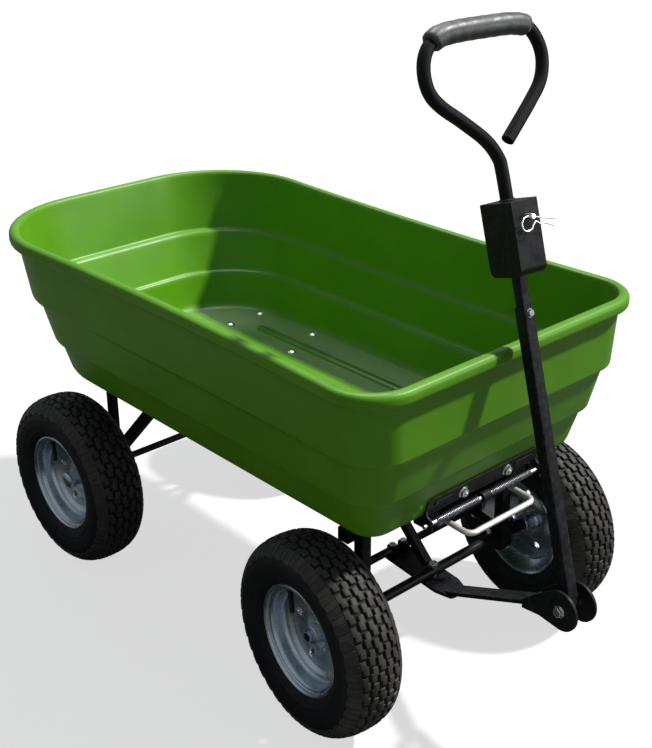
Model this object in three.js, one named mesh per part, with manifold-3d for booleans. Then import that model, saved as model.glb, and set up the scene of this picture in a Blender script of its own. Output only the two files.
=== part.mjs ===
// Four-wheeled tow behind garden cart: tipping poly tub on a steel frame, pneumatic wheels,
// parallelogram steering, folding draw handle with a hitch box and a foam-covered D grip.
// Millimetres, +Z up, ground at Z = 0, +X towards the draw handle. Lengths along X are laid out
// from the middle of the tub; every piece is then moved so that X = 0 is halfway along the cart.
import * as THREE from 'three';
import * as BufferGeometryUtils from 'three/addons/utils/BufferGeometryUtils.js';
import Module from 'manifold-3d';

const wasm = await Module();
wasm.setup();

// ---------------------------------------------------------------- driving dimensions
const MIDDLE_X = 86.29;           // halfway along the cart, ahead of the middle of the tub
const GAP = 0.4;                 // running clearance between neighbouring pieces
const TUBE = 20;                 // frame tube, square
const WALL = 4.5;                // tub wall

const TYRE_R = 165;              // 13 in pneumatic tyre
const WHEEL_Z = TYRE_R;
const FRONT_X = 377;             // front axle line
const REAR_X = -308;             // rear axle line
const TRACK_REAR_Y = 263.6;      // rear wheel centre from the middle
const TRACK_FRONT_Y = 255;
const HUB_IN = 30;               // hub end, inboard of the wheel centre
const HUB_OUT = 14;              // hub end, outboard of the wheel centre
const AXLE_R = 6.5;

const RAIL_Y = 172;
const RAIL_TOP = 360.5;
const RAIL_FRONT = 400;
const FRONT_LEG_X = 380;
const FRONT_LEG_Y = 169;
const REAR_LEG_X = -300;

const HINGE_X = -404;            // dump hinge line, in the rounded rear ends of the rails
const HINGE_Z = RAIL_TOP - TUBE / 2;
const BRACKET_Y = 146;

const LATCH_X = 479;             // latch shaft line
const LATCH_Z = 357;

const STEER_DEG = -5.76;         // how far the steering is turned at rest
const KINGPIN_Y = 188;
const KINGPIN_R = 6;
const ARM_BACK = 93;             // tie rod bolts behind the kingpins and the tongue pivot
const ARM_OUT = 12;              // tie rod bolts outboard of the pivot lines
const PLATE_Z = 152.5;           // underside of the tongue plate and the steering arms
const PLATE_T = 6;
const BEAM_Z = 167.5;
const BEAM_R = 8.5;

const CLEVIS_U = 302;            // clevis pin ahead of the tongue pivot
const CLEVIS_Z = 267;
const LEAN_DEG = 17.35;          // draw handle lean towards the tub at rest
const DRAW_TOP = 452;            // top of the draw tube above the clevis pin
const BOLT_S = 443;              // bolt that joins the draw tube and the upper handle
const BOX_BOTTOM = 498;          // hitch box, along the handle
const BOX_HEIGHT = 104;
const BOX_WIDTH = 50;
const BOX_FRONT = 33;            // box faces before and behind the handle's middle
const BOX_REAR = 30;
const BOX_CORNER = 12;           // rounding of its lower edges
const BOX_WALL = 3;
const PIN_S = 578;               // hitch pin height along the handle
const GRIP_S = 837;              // grip bar height along the handle

const WHEEL_SEGMENTS = 24;

// ---------------------------------------------------------------- finishes
const FINISH = {
  green: { color: 0x4f9a1e, roughness: 0.42, metalness: 0.0 },
  black: { color: 0x1b1d1f, roughness: 0.45, metalness: 0.35 },
  rubber: { color: 0x2b2c2c, roughness: 0.9, metalness: 0.0 },
  zinc: { color: 0x9aa5ad, roughness: 0.35, metalness: 0.85 },
  bright: { color: 0xd4d7d9, roughness: 0.22, metalness: 0.95 },
  foam: { color: 0x232426, roughness: 0.95, metalness: 0.0 },
};

const cart = new THREE.Group();
cart.name = 'tow_behind_cart';

function addPiece(name, geometry, finish) {
  geometry.translate(-MIDDLE_X, 0, 0);
  const mesh = new THREE.Mesh(geometry, new THREE.MeshStandardMaterial(FINISH[finish]));
  mesh.name = name;
  cart.add(mesh);
  return mesh;
}

// ---------------------------------------------------------------- solid helpers
function toManifold(geometry) {
  const bare = new THREE.BufferGeometry();
  bare.setAttribute('position', geometry.getAttribute('position').clone());
  if (geometry.index) {
    bare.setIndex(geometry.index.clone());
  }
  const merged = BufferGeometryUtils.mergeVertices(bare, 1e-4);
  const vertProperties = new Float32Array(merged.getAttribute('position').array);
  const triVerts = new Uint32Array(merged.index.array);
  return new wasm.Manifold(new wasm.Mesh({ numProp: 3, vertProperties, triVerts }));
}

function fromManifold(solid) {
  const mesh = solid.getMesh();
  const positions = [];
  for (let i = 0; i < mesh.vertProperties.length; i += mesh.numProp) {
    positions.push(mesh.vertProperties[i], mesh.vertProperties[i + 1], mesh.vertProperties[i + 2]);
  }
  const geometry = new THREE.BufferGeometry();
  geometry.setAttribute('position', new THREE.Float32BufferAttribute(positions, 3));
  geometry.setIndex(Array.from(mesh.triVerts));
  const flat = geometry.toNonIndexed();
  flat.computeVertexNormals();
  return flat;
}

function build(addList, cutList = []) {
  let solid = toManifold(addList[0]);
  for (const more of addList.slice(1)) {
    solid = solid.add(toManifold(more));
  }
  for (const cut of cutList) {
    solid = solid.subtract(toManifold(cut));
  }
  return fromManifold(solid);
}

function box(x0, x1, y0, y1, z0, z1) {
  const geometry = new THREE.BoxGeometry(x1 - x0, y1 - y0, z1 - z0);
  geometry.translate((x0 + x1) / 2, (y0 + y1) / 2, (z0 + z1) / 2);
  return geometry;
}

function rod(from, to, radius, segments = 20) {
  const start = new THREE.Vector3(...from);
  const end = new THREE.Vector3(...to);
  const along = end.clone().sub(start);
  const geometry = new THREE.CylinderGeometry(radius, radius, along.length(), segments);
  const turn = new THREE.Quaternion().setFromUnitVectors(
    new THREE.Vector3(0, 1, 0),
    along.clone().normalize(),
  );
  geometry.applyQuaternion(turn);
  geometry.translate((start.x + end.x) / 2, (start.y + end.y) / 2, (start.z + end.z) / 2);
  return geometry;
}

// Outline in X and Z, extruded along Y between y0 and y1.
function sidePlate(shape, y0, y1, curveSegments = 10) {
  const geometry = new THREE.ExtrudeGeometry(shape, {
    depth: y1 - y0,
    bevelEnabled: false,
    curveSegments,
  });
  geometry.rotateX(Math.PI / 2);
  geometry.translate(0, y1, 0);
  return geometry;
}

// Outline in X and Y, extruded up from z0 to z1.
function flatPlate(shape, z0, z1, curveSegments = 10) {
  const geometry = new THREE.ExtrudeGeometry(shape, {
    depth: z1 - z0,
    bevelEnabled: false,
    curveSegments,
  });
  geometry.translate(0, 0, z0);
  return geometry;
}

function polygon(points) {
  return new THREE.Shape(points.map(([a, b]) => new THREE.Vector2(a, b)));
}

// Turned piece: profile of [radius, height] pairs, spun about Z and then laid along an axis.
function turned(profile, segments, axis = [0, 0, 1], at = [0, 0, 0]) {
  const points = profile.map(([r, h]) => new THREE.Vector2(r, h));
  const geometry = new THREE.LatheGeometry(points, segments);
  const turn = new THREE.Quaternion().setFromUnitVectors(
    new THREE.Vector3(0, 1, 0),
    new THREE.Vector3(...axis).normalize(),
  );
  geometry.applyQuaternion(turn);
  geometry.translate(...at);
  return geometry;
}

function circleShape(radius, segments = 14, boreRadius = 0) {
  const ring = (r) => {
    const points = [];
    for (let i = 0; i < segments; i += 1) {
      const angle = (2 * Math.PI * i) / segments;
      points.push(new THREE.Vector2(r * Math.cos(angle), r * Math.sin(angle)));
    }
    return points;
  };
  const shape = new THREE.Shape(ring(radius));
  if (boreRadius > 0) {
    shape.holes.push(new THREE.Path(ring(boreRadius).reverse()));
  }
  return shape;
}

function alongPath(curve, shape, steps) {
  return new THREE.ExtrudeGeometry(shape, { extrudePath: curve, steps, bevelEnabled: false });
}

// Hex bolt along an axis: head, shank and nut as one turned body.
// `at` is the point under the head, `axis` points from the nut to the head.
function hexBolt(at, axis, shankR, grip, headR, headT, nutT) {
  const profile = [
    [0, -grip - nutT],
    [headR, -grip - nutT],
    [headR, -grip],
    [shankR, -grip],
    [shankR, 0],
    [headR, 0],
    [headR, headT],
    [0, headT],
  ];
  return turned(profile, 12, axis, at);
}

// ---------------------------------------------------------------- tub
// Stepped shell: every level is a rounded rectangle {z, front, rear, half width, corner radii}.
const RIM_BOW = 10;              // how far the long sides of the rim bow inwards
const TUB_LEVELS = [
  { z: 361, xf: 458, xr: -431, wh: 230, rf: 34, rr: 150, bow: 0 },
  { z: 371, xf: 470, xr: -441, wh: 242, rf: 42, rr: 155, bow: 0 },
  { z: 432, xf: 485, xr: -454, wh: 259, rf: 50, rr: 165, bow: 0 },
  { z: 436, xf: 494, xr: -461, wh: 269, rf: 56, rr: 172, bow: 0 },
  { z: 511, xf: 511, xr: -491, wh: 280, rf: 62, rr: 182, bow: 0.3 },
  { z: 515, xf: 520, xr: -502, wh: 290, rf: 66, rr: 188, bow: 0.4 },
  { z: 618, xf: 522.5, xr: -524, wh: 297, rf: 68, rr: 192, bow: 1 },
];
const LIP = [
  { z: 616, out: 12 },
  { z: 629, out: 15 },
  { z: 636, out: 10 },
  { z: 636, out: 1 },
];

function levelRing(level, offset, z) {
  const xf = level.xf + offset;
  const xr = level.xr - offset;
  const wh = level.wh + offset;
  const ring = [];
  const corner = (cx, cy, r, startDeg) => {
    const steps = 6;
    for (let i = 0; i <= steps; i += 1) {
      const angle = THREE.MathUtils.degToRad(startDeg + (90 * i) / steps);
      ring.push([cx + r * Math.cos(angle), cy + r * Math.sin(angle)]);
    }
  };
  const side = (fromX, toX, sign) => {
    const steps = 6;
    for (let i = 1; i < steps; i += 1) {
      const t = i / steps;
      const inward = RIM_BOW * level.bow * (1 - (2 * t - 1) ** 2);
      ring.push([fromX + (toX - fromX) * t, sign * (wh - inward)]);
    }
  };
  const rf = level.rf + offset;
  const rr = level.rr + offset;
  corner(xf - rf, wh - rf, rf, 0);
  side(xf - rf, xr + rr, 1);
  corner(xr + rr, wh - rr, rr, 90);
  corner(xr + rr, rr - wh, rr, 180);
  side(xr + rr, xf - rf, -1);
  corner(xf - rf, rf - wh, rf, 270);
  return ring.map(([x, y]) => [x, y, z]);
}

function loftClosed(rings) {
  const count = rings[0].length;
  const positions = [];
  const index = [];
  for (const ring of rings) {
    for (const point of ring) {
      positions.push(...point);
    }
  }
  for (let k = 0; k + 1 < rings.length; k += 1) {
    for (let i = 0; i < count; i += 1) {
      const j = (i + 1) % count;
      const a = k * count + i;
      const b = k * count + j;
      const c = (k + 1) * count + j;
      const d = (k + 1) * count + i;
      index.push(a, b, c, a, c, d);
    }
  }
  const middle = (ring) => {
    const sum = ring.reduce((acc, p) => [acc[0] + p[0], acc[1] + p[1]], [0, 0]);
    return [sum[0] / count, sum[1] / count, ring[0][2]];
  };
  const first = positions.length / 3;
  positions.push(...middle(rings[0]));
  const last = first + 1;
  positions.push(...middle(rings[rings.length - 1]));
  const base = (rings.length - 1) * count;
  for (let i = 0; i < count; i += 1) {
    const j = (i + 1) % count;
    index.push(first, j, i);
    index.push(last, base + i, base + j);
  }
  const geometry = new THREE.BufferGeometry();
  geometry.setAttribute('position', new THREE.Float32BufferAttribute(positions, 3));
  geometry.setIndex(index);
  return geometry;
}

const rimLevel = TUB_LEVELS[TUB_LEVELS.length - 1];
const tubRings = TUB_LEVELS.map((level) => levelRing(level, 0, level.z));
tubRings[tubRings.length - 1] = levelRing(rimLevel, 0, 613);
for (const step of LIP) {
  tubRings.push(levelRing(rimLevel, step.out, step.z));
}
tubRings.push(levelRing(rimLevel, -WALL, 632));
for (const level of [...TUB_LEVELS].reverse()) {
  const lift = level.z > 600 ? 0 : WALL;
  tubRings.push(levelRing(level, -WALL, level.z + lift));
}

const FLOOR_TOP = 361 + WALL;
const FLOOR_BOLTS = [
  { x: -318, y: 126 },
  { x: -128, y: 127 },
  { x: -322, y: 207 },
  { x: -164, y: 214 },
];
const floorRibs = [-150, -90, 0, 90, 160].map((y) => {
  const profile = polygon([
    [y - 11, FLOOR_TOP - 1],
    [y + 11, FLOOR_TOP - 1],
    [y + 7, FLOOR_TOP + 4],
    [y - 7, FLOOR_TOP + 4],
  ]);
  const rib = new THREE.ExtrudeGeometry(profile, { depth: 660, bevelEnabled: false });
  rib.rotateX(Math.PI / 2);
  rib.rotateZ(Math.PI / 2);
  rib.translate(-270, 0, 0);
  return rib;
});
const floorHoles = FLOOR_BOLTS.map(({ x, y }) => rod([x, y, 350], [x, y, 380], 4 + GAP, 12));

const LATCH_BOLT_Y = [-51, 51];
const LATCH_BOLT_Z = 385;
const wallLean = Math.atan2(15, 61);          // front wall slope of the lowest band
const wallX = (z) => 470 + (z - 371) * Math.tan(wallLean);
const outOfWall = [Math.cos(wallLean), 0, -Math.sin(wallLean)];
function onWall(offset, z) {
  return [wallX(z) + offset * Math.cos(wallLean), z - offset * Math.sin(wallLean)];
}
const latchHoles = LATCH_BOLT_Y.map((y) => {
  const [x0, z0] = onWall(-20, LATCH_BOLT_Z);
  const [x1, z1] = onWall(12, LATCH_BOLT_Z);
  return rod([x0, y, z0], [x1, y, z1], 4 + GAP, 12);
});
addPiece('tub', build([loftClosed(tubRings), ...floorRibs], [...floorHoles, ...latchHoles]), 'green');

FLOOR_BOLTS.forEach(({ x, y }, i) => {
  const dome = [
    [0, 353],
    [7, 353],
    [7, 361 - GAP],
    [4, 361 - GAP],
    [4, FLOOR_TOP + GAP],
    [9, FLOOR_TOP + GAP],
    [7, FLOOR_TOP + 3.4],
    [0, FLOOR_TOP + 4.6],
  ];
  addPiece(`floor_bolt_${i + 1}`, turned(dome, 12, [0, 0, 1], [x, y, 0]), 'bright');
});

// ---------------------------------------------------------------- latch on the tub front
const PLATE_HALF = 130;
const latchProfile = polygon([
  onWall(GAP, 372),
  onWall(3.5, 372),
  onWall(3.5, 400),
  onWall(GAP, 400),
]);
const lugProfile = polygon([
  onWall(GAP, 373),
  onWall(3.5, 373),
  [LATCH_X + 9, 366],
  [LATCH_X + 9, LATCH_Z - 8],
  [LATCH_X - 8, LATCH_Z - 8],
  [LATCH_X - 8, 366],
  [wallX(372) + GAP, 372],
]);
const latchPlate = build(
  [
    sidePlate(latchProfile, -PLATE_HALF, PLATE_HALF),
    sidePlate(lugProfile, -PLATE_HALF, -PLATE_HALF + 4),
    sidePlate(lugProfile, PLATE_HALF - 4, PLATE_HALF),
  ],
  [
    rod([LATCH_X, -200, LATCH_Z], [LATCH_X, 200, LATCH_Z], 4 + GAP, 16),
    ...latchHoles,
  ],
);
addPiece('latch_plate', latchPlate, 'black');
LATCH_BOLT_Y.forEach((y, i) => {
  const [x, z] = onWall(3.5 + GAP, LATCH_BOLT_Z);
  const grip = WALL + 1.3 + 3.5 + 3 * GAP;
  const bolt = hexBolt([x, y, z], outOfWall, 4, grip, 8, 5, 5);
  addPiece(`latch_bolt_${i + 1}`, bolt, 'bright');
});
addPiece('latch_rod', rod([LATCH_X, -139, LATCH_Z], [LATCH_X, 139, LATCH_Z], 4, 16), 'zinc');
for (const [name, y0, y1] of [['latch_spring_r', -112, -14], ['latch_spring_l', 14, 112]]) {
  const coils = 8;
  const pitch = (y1 - y0) / coils;
  const profile = [[4 + GAP, y0]];
  for (let i = 0; i < coils; i += 1) {
    profile.push([5.2, y0 + pitch * i]);
    profile.push([7, y0 + pitch * (i + 0.5)]);
  }
  profile.push([5.2, y1]);
  profile.push([4 + GAP, y1]);
  profile.push([4 + GAP, y0]);
  addPiece(name, turned(profile, 12, [0, 1, 0], [LATCH_X, 0, LATCH_Z]), 'bright');
}
addPiece('latch_tube', box(441, 461, -121, 121, RAIL_TOP - TUBE, RAIL_TOP), 'black');

const BAIL_R = 4.8;
const catchFace = box(463.6, 466.6, -82, 82, 334, 356);
const catchEye = rod([LATCH_X, -10, LATCH_Z], [LATCH_X, 10, LATCH_Z], 8, 16);
const catchTab = box(464, 475, -10, 10, 349, 356);
const bailCurve = new THREE.CatmullRomCurve3(
  [
    [465, -76, 338],
    [490, -76, 336.8],
    [506, -76, 335.8],
    [517, -73, 335.2],
    [520, -64, 335],
    [520, 0, 335],
    [520, 64, 335],
    [517, 73, 335.2],
    [506, 76, 335.8],
    [490, 76, 336.8],
    [465, 76, 338],
  ].map((p) => new THREE.Vector3(...p)),
  false,
  'centripetal',
);
const bail = build(
  [catchFace, catchEye, catchTab, alongPath(bailCurve, circleShape(BAIL_R, 8), 26)],
  [rod([LATCH_X, -50, LATCH_Z], [LATCH_X, 50, LATCH_Z], 4 + GAP, 16)],
);
addPiece('latch_bail', bail, 'bright');

// ---------------------------------------------------------------- dump hinge
const hingeHole = rod([HINGE_X, -250, HINGE_Z], [HINGE_X, 250, HINGE_Z], 5 + GAP, 16);
for (const [name, y] of [['hinge_bracket_r', -BRACKET_Y], ['hinge_bracket_l', BRACKET_Y]]) {
  const shape = new THREE.Shape();
  shape.moveTo(HINGE_X, HINGE_Z - 10);
  shape.absarc(HINGE_X, HINGE_Z, 10, -Math.PI / 2, Math.PI / 2, true);
  shape.lineTo(-366, 360.6);
  shape.lineTo(-366, 354);
  shape.lineTo(-392, HINGE_Z - 7);
  addPiece(name, build([sidePlate(shape, y - 3, y + 3)], [hingeHole]), 'black');
}
addPiece('hinge_rod', rod([HINGE_X, -190, HINGE_Z], [HINGE_X, 190, HINGE_Z], 5, 16), 'zinc');

// ---------------------------------------------------------------- frame
const half = TUBE / 2;
for (const [side, sign] of [['r', -1], ['l', 1]]) {
  const y0 = sign * RAIL_Y - half;
  const rail = box(HINGE_X, RAIL_FRONT, y0, y0 + TUBE, RAIL_TOP - TUBE, RAIL_TOP);
  const roundEnd = rod([HINGE_X, y0, HINGE_Z], [HINGE_X, y0 + TUBE, HINGE_Z], half, 24);
  addPiece(`side_rail_${side}`, build([rail, roundEnd], [hingeHole]), 'black');
}
const insideRails = RAIL_Y - half - GAP;
const crossZ = [RAIL_TOP - TUBE, RAIL_TOP];
addPiece('rear_cross_tube', box(-360, -340, -insideRails, insideRails, ...crossZ), 'black');
addPiece('mid_cross_tube', box(195, 215, -insideRails, insideRails, ...crossZ), 'black');
const bolsterBack = FRONT_LEG_X - half - GAP;
addPiece('front_bolster', box(bolsterBack - 24, bolsterBack, -190, 190, 297, 321), 'black');

const underRail = RAIL_TOP - TUBE - GAP;
const rearAxleHole = rod([REAR_X, -250, WHEEL_Z], [REAR_X, 250, WHEEL_Z], AXLE_R + GAP, 20);
for (const [side, sign] of [['r', -1], ['l', 1]]) {
  const y = sign * (RAIL_Y + 2);
  const leg = box(REAR_LEG_X - 16, REAR_LEG_X + 0, y - 8, y + 8, 152, underRail);
  addPiece(`rear_leg_${side}`, build([leg], [rearAxleHole]), 'black');
  // brace from the leg foot up and forward to the rail, its ends cut to fit both
  const footX = REAR_LEG_X + GAP;
  const braceShape = polygon([
    [footX, 176],
    [footX + 153.5, underRail - GAP],
    [footX + 126, underRail - GAP],
    [footX, 205],
  ]);
  addPiece(`rear_brace_${side}`, sidePlate(braceShape, y - 8, y + 8), 'black');
}
const axleEnd = TRACK_REAR_Y + HUB_OUT + 9;
addPiece('rear_axle', rod([REAR_X, -axleEnd, WHEEL_Z], [REAR_X, axleEnd, WHEEL_Z], AXLE_R, 20), 'black');

const YOKE_TOP = 190;
for (const [side, sign] of [['r', -1], ['l', 1]]) {
  const y = sign * FRONT_LEG_Y;
  const leg = box(FRONT_LEG_X - half, FRONT_LEG_X + half, y - half, y + half, YOKE_TOP + GAP, underRail);
  addPiece(`front_leg_${side}`, leg, 'black');
}

// front axle beam: round bar with a fork at each end for the steering knuckle
const beamAdds = [rod([FRONT_X, -170, BEAM_Z], [FRONT_X, 170, BEAM_Z], BEAM_R, 16)];
const beamCuts = [rod([FRONT_X, 0, 140], [FRONT_X, 0, 200], 6 + GAP, 16)];
for (const sign of [-1, 1]) {
  const y0 = sign > 0 ? 160 : -176;
  beamAdds.push(box(FRONT_X - 12, FRONT_X + 12, y0, y0 + 16, 140, YOKE_TOP));
  for (const z of [140, YOKE_TOP - 6]) {
    const forkInner = sign > 0 ? 170 : -KINGPIN_Y;
    beamAdds.push(box(FRONT_X - 11, FRONT_X + 11, forkInner, forkInner + KINGPIN_Y - 170, z, z + 6));
    beamAdds.push(rod([FRONT_X, sign * KINGPIN_Y, z], [FRONT_X, sign * KINGPIN_Y, z + 6], 11, 16));
  }
  beamCuts.push(
    rod([FRONT_X, sign * KINGPIN_Y, 130], [FRONT_X, sign * KINGPIN_Y, 200], KINGPIN_R + GAP, 16),
  );
}
addPiece('front_axle_beam', build(beamAdds, beamCuts), 'black');

const braceLow = [364, 173];
const braceHigh = [202.5, 334.5];
const r = 7 / Math.SQRT2;
const centreBrace = polygon([
  [braceLow[0] - r, braceLow[1] - r],
  [braceLow[0] + r, braceLow[1] + r],
  [braceHigh[0] + r, braceHigh[1] + r],
  [braceHigh[0] - r, braceHigh[1] - r],
]);
addPiece('centre_brace', sidePlate(centreBrace, -8, 8), 'black');

for (const [side, sign] of [['r', -1], ['l', 1]]) {
  const profile = [
    [0, 134],
    [8, 134],
    [8, 140 - GAP],
    [KINGPIN_R, 140 - GAP],
    [KINGPIN_R, YOKE_TOP + GAP],
    [8, YOKE_TOP + GAP],
    [7, YOKE_TOP + 5],
    [0, YOKE_TOP + 5],
  ];
  addPiece(`kingpin_${side}`, turned(profile, 16, [0, 0, 1], [FRONT_X, sign * KINGPIN_Y, 0]), 'zinc');
}
const pivotProfile = [
  [0, PLATE_Z - 8],
  [9, PLATE_Z - 8],
  [9, PLATE_Z - GAP],
  [6, PLATE_Z - GAP],
  [6, BEAM_Z + BEAM_R + GAP],
  [7.5, BEAM_Z + BEAM_R + GAP],
  [7.5, BEAM_Z + BEAM_R + 7],
  [0, BEAM_Z + BEAM_R + 7],
];
addPiece('tongue_pivot_bolt', turned(pivotProfile, 16, [0, 0, 1], [FRONT_X, 0, 0]), 'bright');

// ---------------------------------------------------------------- steering, built straight ahead
// and then turned to the rest angle; U runs forward from the tongue pivot, W to the left.
const steer = THREE.MathUtils.degToRad(STEER_DEG);
function turnAbout(geometry, x, y) {
  geometry.rotateZ(steer);
  geometry.translate(x, y, 0);
  return geometry;
}

const plateOutline = polygon([
  [-108, -21],
  [-98, -27],
  [34, -27],
  [66, -17],
  [66, 17],
  [34, 27],
  [-98, 27],
  [-108, 21],
]);
const strapTop = [236, 245.5];
const strap = polygon([
  [44, PLATE_Z],
  [58, PLATE_Z + 3],
  [strapTop[0], strapTop[1] - 7],
  [strapTop[0], strapTop[1]],
  [56, PLATE_Z + 9],
  [44, PLATE_Z + PLATE_T],
]);
const EAR_R = 32;
const ear = new THREE.Shape();
ear.moveTo(226, 231);
ear.lineTo(262, CLEVIS_Z - 30);
ear.lineTo(CLEVIS_U, CLEVIS_Z - EAR_R);
ear.absarc(CLEVIS_U, CLEVIS_Z, EAR_R, -Math.PI / 2, (2 * Math.PI) / 3, false);
ear.lineTo(250, 268);
ear.lineTo(226, 246);
const tongue = build(
  [
    flatPlate(plateOutline, PLATE_Z, PLATE_Z + PLATE_T),
    sidePlate(strap, -17, 17),
    box(228, 240, -22.5, 22.5, 236, 246),
    sidePlate(ear, -22.5, -17.5, 14),
    sidePlate(ear, 17.5, 22.5, 14),
  ],
  [
    rod([0, 0, 140], [0, 0, 170], 6 + GAP, 16),
    rod([-ARM_BACK, ARM_OUT, 140], [-ARM_BACK, ARM_OUT, 170], 4 + GAP, 12),
    rod([-ARM_BACK, -ARM_OUT, 140], [-ARM_BACK, -ARM_OUT, 170], 4 + GAP, 12),
    rod([CLEVIS_U, -40, CLEVIS_Z], [CLEVIS_U, 40, CLEVIS_Z], 5 + GAP, 16),
  ],
);
addPiece('tongue', turnAbout(tongue, FRONT_X, 0), 'black');
const clevisBolt = hexBolt([CLEVIS_U, -22.5 - GAP, CLEVIS_Z], [0, -1, 0], 5, 45 + 2 * GAP, 9, 6, 7);
addPiece('clevis_bolt', turnAbout(clevisBolt, FRONT_X, 0), 'bright');

const EYE_Z0 = PLATE_Z + PLATE_T + GAP;
const EYE_Z1 = EYE_Z0 + 14;
const ROD_Z = (EYE_Z0 + EYE_Z1) / 2;
for (const [side, sign] of [['r', -1], ['l', 1]]) {
  // knuckle: kingpin sleeve, wheel spindle and steering arm
  const armEnd = [-ARM_BACK, sign * ARM_OUT];
  const reach = TRACK_FRONT_Y - KINGPIN_Y;
  const armPlate = polygon([
    [0, -9 + sign * 1],
    [0, 9 + sign * 1],
    [armEnd[0], armEnd[1] + 9],
    [armEnd[0], armEnd[1] - 9],
  ]);
  const knuckle = build(
    [
      rod([0, 0, 140 + 6 + GAP], [0, 0, YOKE_TOP - 6 - GAP], 11, 20),
      rod([0, 0, WHEEL_Z], [0, sign * (reach - HUB_IN - 1), WHEEL_Z], 10.5, 16),
      rod([0, 0, WHEEL_Z], [0, sign * (reach + HUB_OUT + 9), WHEEL_Z], AXLE_R, 20),
      flatPlate(armPlate, PLATE_Z, PLATE_Z + PLATE_T),
      rod([...armEnd, PLATE_Z], [...armEnd, PLATE_Z + PLATE_T], 9, 16),
    ],
    [
      rod([0, 0, 130], [0, 0, 200], KINGPIN_R + GAP, 16),
      rod([...armEnd, 140], [...armEnd, 170], 4 + GAP, 12),
    ],
  );
  addPiece(`knuckle_${side}`, turnAbout(knuckle, FRONT_X, sign * KINGPIN_Y), 'black');

  // tie rod: stays parallel to the axle, so it is placed rather than turned
  const inner = new THREE.Vector2(-ARM_BACK, sign * ARM_OUT).rotateAround(new THREE.Vector2(), steer);
  const x = FRONT_X + inner.x;
  const y = inner.y;
  const outerY = y + sign * KINGPIN_Y;
  const tieRod = build(
    [
      rod([x, y + sign * 4, ROD_Z], [x, outerY - sign * 4, ROD_Z], 6.9, 16),
      rod([x, y, EYE_Z0], [x, y, EYE_Z1], 10, 16),
      rod([x, outerY, EYE_Z0], [x, outerY, EYE_Z1], 9, 16),
    ],
    [
      rod([x, y, 140], [x, y, 190], 4 + GAP, 12),
      rod([x, outerY, 140], [x, outerY, 190], 4 + GAP, 12),
    ],
  );
  addPiece(`tie_rod_${side}`, tieRod, 'black');
  const grip = PLATE_T + 14 + 3 * GAP;
  for (const [end, endY] of [['inner', y], ['outer', outerY]]) {
    const bolt = hexBolt([x, endY, EYE_Z1 + GAP], [0, 0, 1], 4, grip, 7, 4.5, 6);
    addPiece(`tie_bolt_${end}_${side}`, bolt, 'bright');
  }
}

// ---------------------------------------------------------------- draw handle
// Built upright: S runs up the handle from the clevis pin, N forward, W to the left.
const lean = THREE.MathUtils.degToRad(LEAN_DEG);
function placeHandle(geometry) {
  geometry.rotateY(-lean);
  geometry.translate(CLEVIS_U, 0, CLEVIS_Z);
  return turnAbout(geometry, FRONT_X, 0);
}

const drawTube = build(
  [
    box(-half, half, -half, half, 0, DRAW_TOP),
    rod([0, -half, 0], [0, half, 0], half, 20),
  ],
  [
    rod([0, -40, 0], [0, 40, 0], 5 + GAP, 16),
    box(-8.4, 8.4, -8.4, 8.4, 405, DRAW_TOP + 5),
    rod([-40, 0, BOLT_S], [40, 0, BOLT_S], 3 + GAP, 12),
  ],
);
addPiece('draw_tube', placeHandle(drawTube), 'black');
const handleBolt = hexBolt([half + GAP, 0, BOLT_S], [1, 0, 0], 3, TUBE + 2 * GAP, 6, 4, 4);
addPiece('handle_bolt', placeHandle(handleBolt), 'bright');

const boxTop = BOX_BOTTOM + BOX_HEIGHT;
const boxCornerTop = BOX_BOTTOM + BOX_CORNER;
const hw = BOX_WIDTH / 2;
const boxSide = new THREE.Shape();
boxSide.moveTo(BOX_FRONT, boxTop);
boxSide.lineTo(-BOX_REAR, boxTop);
boxSide.absarc(-BOX_REAR + BOX_CORNER, boxCornerTop, BOX_CORNER, Math.PI, 1.5 * Math.PI);
boxSide.absarc(BOX_FRONT - BOX_CORNER, boxCornerTop, BOX_CORNER, 1.5 * Math.PI, 2 * Math.PI);
const pinHole = rod([-60, 0, PIN_S], [60, 0, PIN_S], 4.5 + GAP, 14);
const hitchBox = build(
  [sidePlate(boxSide, -hw, hw, 5)],
  [
    box(
      -BOX_REAR + BOX_WALL, BOX_FRONT - BOX_WALL,
      -hw + BOX_WALL, hw - BOX_WALL,
      boxCornerTop, boxTop - BOX_WALL,
    ),
    box(
      -BOX_REAR + BOX_CORNER, BOX_FRONT - BOX_CORNER,
      -hw + BOX_WALL, hw - BOX_WALL,
      BOX_BOTTOM - 5, boxCornerTop + 1,
    ),
    rod([0, 0, boxTop - 10], [0, 0, boxTop + 10], 9.5 + GAP, 20),
    pinHole,
  ],
);
addPiece('hitch_box', placeHandle(hitchBox), 'black');

const gripCurve = new THREE.CatmullRomCurve3(
  [
    [0, 512],
    [0, 580],
    [-1, 645],
    [-5, 664],
    [-22, 689],
    [-58, 719],
    [-91, 744],
    [-107, 765],
    [-110, 792],
    [-101, 816],
    [-80, 832],
    [-48, GRIP_S],
    [6, GRIP_S + 1],
    [60, GRIP_S],
    [88, 829],
    [103, 807],
    [106, 782],
    [96, 755],
    [72, 730],
    [18, 683],
  ].map(([w, s]) => new THREE.Vector3(0, w, s)),
  false,
  'centripetal',
);
const upperHandle = build(
  [
    alongPath(gripCurve, circleShape(9.5, 10), 40),
    box(-8, 8, -8, 8, 407, 522),
  ],
  [
    pinHole,
    rod([-40, 0, BOLT_S], [40, 0, BOLT_S], 3 + GAP, 12),
  ],
);
addPiece('upper_handle', placeHandle(upperHandle), 'black');

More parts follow.
